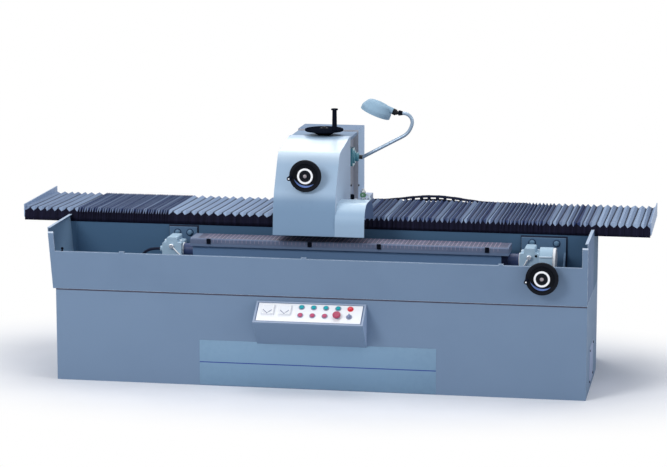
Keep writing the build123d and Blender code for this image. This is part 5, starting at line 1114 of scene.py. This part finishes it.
def reflection_arc(shape, radius, away, half):
    """Arc of edges about a centre on the crescent's middle line, half of it to each side of that line."""
    centre = REFLECTION_OUT * away
    first = shape.verts.new(centre + Matrix.Rotation(-half, 3, "Z") @ REFLECTION_OUT * radius)
    bmesh.ops.spin(shape, geom=[first], cent=centre, axis=UP, angle=2 * half, steps=28)


def painted_reflection_crescent():
    """Crescent of painted reflection in the dish, between two arcs that meet at its ends."""
    shape = bmesh.new()
    reflection_arc(shape, *INNER_ARC)
    reflection_arc(shape, *OUTER_ARC)
    bmesh.ops.bridge_loops(shape, edges=shape.edges[:])
    for vertex in shape.verts:
        vertex.co.z = DISH_LOW + DISH_RISE * (vertex.co.xy.length - DISH_FOOT)
    bmesh.ops.solidify(shape, geom=shape.faces[:], thickness=REFLECTION_THICKNESS)
    bmesh.ops.recalc_face_normals(shape, faces=shape.faces)
    return shape


print("crescent", REFLECTION_THICKNESS * 1000, "mm thick")

# %% Handwheel trims
GRIP_TO_PLANE = 0.0095
TOP_NUT_PLACE = (-0.074, 0.145, 1.2103)
for wheel, grip, body in (("fine_feed_handwheel", "fine_feed_handle", "fine_wheel"),
                          ("tilt_handwheel", "tilt_handle", "tilt_wheel")):
    low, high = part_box(wheel)
    plane = ((low.x + high.x) / 2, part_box(grip)[1].y + GRIP_TO_PLANE, (low.z + high.z) / 2)
    for part, shape, material, slot in (
            ("ring", turned_shape(WHEEL_RING, 48), "white_plastic", "panel_white"),
            ("nut", turned_shape(WHEEL_NUT, 32), "hub_steel", "lever_chrome"),
            ("reflection", painted_reflection_crescent(), "reflection_blue", "light_blue"),
            ("dish", turned_shape(WHEEL_DISH, 56), "dish_black", "wheel_black")):
        fitted(f"{wheel}_{part}", shape, [plane], FRONT, body, material)
    print(wheel, "trimmed at", [round(value, 4) for value in plane])
fitted("feed_handwheel_nut", turned_shape(TOP_NUT, 32), [TOP_NUT_PLACE], UP, "feed_wheel", "dish_black")

# %% [markdown]
# ## Console
# The white face plate lies in a raised pale frame. The two meters are white and almost flush, with a grey
# V in the lower half of each dial. Four strips could make a frame, but a grid that is inset and extruded
# has its corners mitred by itself. The V is two slim bevelled bars.

# %% Console frame
CONSOLE_WIDTH, CONSOLE_SLOPE = console_high.x - console_low.x, 0.1468
console_up = Vector((0, CONSOLE_RUN, CONSOLE_DROP)).normalized()
console_place = Matrix.Translation(console_top) @ Matrix((
    (1, 0, 0, 0), (0, console_up.y, console_out.y, 0), (0, console_up.z, console_out.z, 0), (0, 0, 0, 1)))


def frame_shape(width, length, rim, height):
    """Flat frame on Z 0 round an opening, with its outer corners at the width and length."""
    shape = bmesh.new()
    bmesh.ops.create_grid(shape, x_segments=1, y_segments=1, size=0.5)
    bmesh.ops.scale(shape, vec=(width, length, 1), verts=shape.verts)
    bmesh.ops.inset_region(shape, faces=shape.faces[:], thickness=rim, use_boundary=True,
                           use_even_offset=True)
    inner = min(shape.faces, key=lambda f: f.calc_center_median().length)
    bmesh.ops.delete(shape, geom=[inner], context="FACES")
    risen = bmesh.ops.extrude_face_region(shape, geom=shape.faces[:])["geom"]
    risen = [v for v in risen if isinstance(v, bmesh.types.BMVert)]
    bmesh.ops.translate(shape, vec=(0, 0, height), verts=risen)
    bmesh.ops.recalc_face_normals(shape, faces=shape.faces)
    return bevelled(shape, height * 0.25)


# painted shade: the thin dark strip inside the frame stands for the shade in the groove round the face plate
middle = console_place @ Matrix.Translation((CONSOLE_WIDTH / 2, -CONSOLE_SLOPE / 2, 0))
for name, side_gap, end_gap, rim, height, material, slot in (
        ("console_frame", 0.001, 0.004, 0.0095, 0.003, "frame_paint", "panel_white"),
        ("console_groove", 0.020, 0.023, 0.0065, 0.0008, "groove_painted_shade", "casting_blue")):
    shape = frame_shape(CONSOLE_WIDTH - side_gap, CONSOLE_SLOPE - end_gap, rim, height)
    piece(name, placed(shape, middle), "machine", material)

# %% Meters
METERS = {"left": 0.066, "right": 0.151}
METER_DROP, METER_RISE = -0.063, 0.014
METER_SIZE, BEZEL_RIM, BEZEL_HEIGHT = 0.056, 0.004, 0.0012
BAR_LOW, BAR_HIGH, BAR_BEVEL = (-0.0155, -0.0014, 0), (0.0155, 0.0014, 0.0012), 0.0004
BAR_ASIDE, BAR_DROP, PIVOT_DROP = 0.0115, -0.017, -0.0275
PIVOT = [(0, 0.0022), (0.0022, 0.0018), (0.0030, 0.0), (0, 0)]
for name, x in METERS.items():
    pointer = bmesh.new()
    for side in (-1, 1):
        turn = Matrix.Rotation(side * radians(45), 4, "Z")
        add_shape(pointer, box_shape(BAR_LOW, BAR_HIGH, BAR_BEVEL),
                  Matrix.Translation((side * BAR_ASIDE, BAR_DROP, 0)) @ turn)
    add_shape(pointer, turned_shape(PIVOT, 16), Matrix.Translation((0, PIVOT_DROP, 0)))
    at = console_place @ Matrix.Translation((x, METER_DROP, METER_RISE))
    piece(f"meter_pointer_{name}", placed(pointer, at), "machine", "dial_grey")
    bezel = frame_shape(METER_SIZE, METER_SIZE, BEZEL_RIM, BEZEL_HEIGHT)
    piece(f"meter_bezel_{name}", placed(bezel, at), "machine", "white_plastic")

# %% [markdown]
# ## Screws, painted shadows and small fittings
# Bolts hold the bracket plates against the bed. A dark disc under each bolt and a dark frame behind each
# plate are painted shadows; the frame shows as a line round each plate.
# Round socket screws hold the slide, the blocks and the hatches. Each could be modelled in its own place;
# here a bolt and a screw are made once and copied to every place that a list gives.

# %% Bracket bolts and painted shadows
PLATE_THICKNESS, BOLT_RADIUS, BOLT_HEIGHT, BOLT_LIFT = 0.012, 0.0106, 0.010, 0.0018
BOLTS = [(-0.7905, 0.6985), (-0.7265, 0.6990), (1.018, 0.7015), (1.1394, 0.7005)]
BOLT_SHADOW_DISC = [(0, 0), (0.0192, 0), (0.0192, 0.0014), (0.0182, 0.0020), (0, 0.0020)]
PLATE_SHADOW_OUT, PLATE_SHADOW_IN, PLATE_SHADOW_FOOT, PLATE_SHADOW_TOP = 0.0025, 0.0001, 0.548, 0.735
PLATE_SHADOW_LEFT, PLATE_SHADOW_RIGHT = 0.004, 0.007
bracket_low, bracket_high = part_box("table_brackets")
bracket_spans = [(bracket_low.x, -0.690), (0.9645, bracket_high.x)]
plate_face = bed_front - PLATE_THICKNESS


def bolt_shape(radius, height):
    """Hexagon head on its collar, standing on Z 0."""
    shape = placed(hexagon_shape(radius, height), Matrix.Translation((0, 0, height * 0.62)))
    add_shape(shape, turned_shape([(0, 0), (radius * 1.3, 0), (radius * 1.3, height * 0.12),
                                   (radius * 1.2, height * 0.18), (0, height * 0.18)], 24))
    return shape


bolt_places = [(x, plate_face - BOLT_LIFT, z) for x, z in BOLTS]
fitted("bracket_bolts", bolt_shape(BOLT_RADIUS, BOLT_HEIGHT), bolt_places, FRONT, "machine", "bolt_blue")
# painted shadow: a dark disc under each bolt
fitted("bracket_bolt_shadows", turned_shape(BOLT_SHADOW_DISC, 32), [(x, plate_face, z) for x, z in BOLTS], FRONT,
       "machine", "bolt_shadow_blue")
# painted shadow: a dark frame behind each bracket plate
plate_shadows = bmesh.new()
for left, right in bracket_spans:
    add_shape(plate_shadows, box_shape((left - PLATE_SHADOW_LEFT, bed_front - PLATE_SHADOW_OUT, PLATE_SHADOW_FOOT),
                                 (right + PLATE_SHADOW_RIGHT, bed_front + PLATE_SHADOW_IN, PLATE_SHADOW_TOP), 0.0006))
piece("bracket_plate_shadows", plate_shadows, "machine", "painted_shadow_navy")

# %% Block bosses, screw and rib
BOSS = [(0, 0), (0.0088, 0), (0.0088, 0.0035), (0.0074, 0.0065), (0.0045, 0.0085), (0, 0.0092)]
BOSS_SEAT = 0.6808
BOSSES = [(-0.8135, -0.238), (-0.7375, -0.246), (0.985, -0.222), (1.0605, -0.200)]
RIB_LOW, RIB_HIGH = (1.0722, -0.2930, 0.6640), (1.1355, -0.2800, 0.6705)


def socket_screws(name, radius, height, places, direction, body):
    """Round screw heads with a sunk socket, each standing on its place."""
    head = turned_shape([(0, 0), (radius, 0), (radius, height * 0.8), (radius * 0.88, height),
                         (radius * 0.5, height), (radius * 0.46, height * 0.45), (0, height * 0.45)], 20)
    fitted(name, head, places, direction, body, "black_plastic")


# painted highlight: the bosses and the rib take a paler paint than their block
fitted("block_bosses", turned_shape(BOSS, 32), [(x, y, BOSS_SEAT) for x, y in BOSSES], UP, "machine",
       "boss_painted_highlight")
socket_screws("block_screw", 0.0058, 0.004, [(1.056, -0.2849, 0.671)], FRONT, "machine")
piece("drum_rib", box_shape(RIB_LOW, RIB_HIGH, 0.0012), "machine", "boss_painted_highlight")

# %% Lamp boot
BOOT = [(0.0090, 0.0130), (0.0126, 0.0130), (0.0134, 0.0140), (0.0134, 0.0200), (0.0110, 0.0310),
        (0.0098, 0.0345), (0.0090, 0.0345), (0.0090, 0.0130)]
BOOT_ALONG = (0.9976, 0, -0.0691)
fitted("lamp_boot", turned_shape(BOOT, 32), [LAMP_BALL], BOOT_ALONG, "lamp_neck", "black_plastic")

# %% Slide, oil cup and lip knob
OIL_CUP = [(0, 0), (0.0105, 0), (0.0105, 0.006), (0.0080, 0.008), (0.0080, 0.032), (0.0066, 0.036),
           (0.0066, 0.039), (0, 0.040)]
LIP_KNOB = [(0, 0), (0.0055, 0), (0.0045, 0.004), (0.0045, 0.008), (0.0072, 0.011), (0.0068, 0.016),
            (0.0030, 0.019), (0, 0.0195)]
SUNK = 0.0001
slide_face, column_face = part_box("head_slide")[1].x - SUNK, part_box("column")[1].x - SUNK
saddle_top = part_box("saddle")[1].z - 2 * SUNK
slide_places = [(slide_face, 0.194, 1.1173), (slide_face, 0.220, 0.9143)]
socket_screws("slide_screws", 0.0055, 0.004, slide_places, RIGHT, "head")
socket_screws("column_screw", 0.0055, 0.004, [(column_face, 0.3345, 0.8972)], RIGHT, "carriage")
fitted("oil_cup", turned_shape(OIL_CUP, 28), [(0.1000, 0.078, saddle_top)], UP, "carriage", "white_plastic")
fitted("lip_knob", turned_shape(LIP_KNOB, 28), [(-1.2905, -0.4690, 0.6549)], UP, "machine", "black_plastic")

# %% [markdown]
# ## Cabinet
# The trough sits on the cabinet over a brown sealing seam, whose dark line is widened with the painted
# shadow under the trough's overhang. Low on the front is a wide pale panel with one dark line across it. A
# hatch closes the right end, and the back has screwed covers. Seam, panel and hatch stand only a little
# proud of the sheet, which paint could show as well, but an edge of real thickness catches the light.

# %% Seam, front panel and hatch
cabinet_low, cabinet_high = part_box("base_cabinet")
front, right, top = cabinet_low.y, cabinet_high.x, cabinet_high.z
seam_low = (cabinet_low.x + 0.001, front - 0.0022, top - 0.006)
seam_high = (right - 0.0005, front + 0.0001, top + 0.0002)
panel_low, panel_high = (-0.592, front - 0.0007, 0.003), (0.592, front + 0.0003, 0.230)
hatch_low, hatch_high = (right - 0.0003, -0.270, 0.030), (right + 0.0017, -0.040, 0.215)
HATCH_COLUMNS, HATCH_ROWS = (-0.258, -0.052), (0.044, 0.201)
# painted shadow: the brown seam strip is widened downwards with the shade under the trough's overhang
piece("trough_seam_and_shadow", box_shape(seam_low, seam_high, 0.0006), "machine", "seam_and_shadow_brown")
piece("front_panel", box_shape(panel_low, panel_high, 0.0003), "machine", "front_panel_finish")
piece("side_hatch", box_shape(hatch_low, hatch_high, 0.0008), "machine", "hatch_paint")
hatch_places = [(hatch_high[0] - SUNK, y, z) for y in HATCH_COLUMNS for z in HATCH_ROWS]
socket_screws("hatch_screws", 0.006, 0.003, hatch_places, RIGHT, "machine")

# %% Rear covers
REAR_COVERS, REAR_INSET = 3, 0.018
rear_low, rear_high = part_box("rear_covers")
bay = (rear_high.x - rear_low.x) / REAR_COVERS
rear_rows = (rear_low.z + REAR_INSET, (rear_low.z + rear_high.z) / 2, rear_high.z - REAR_INSET)
rear_places = [(rear_low.x + i * bay + inset, rear_high.y, z) for i in range(REAR_COVERS)
               for inset in (REAR_INSET, bay - REAR_INSET) for z in rear_rows]
socket_screws("rear_screws", 0.006, 0.0035, rear_places, BACK, "machine")
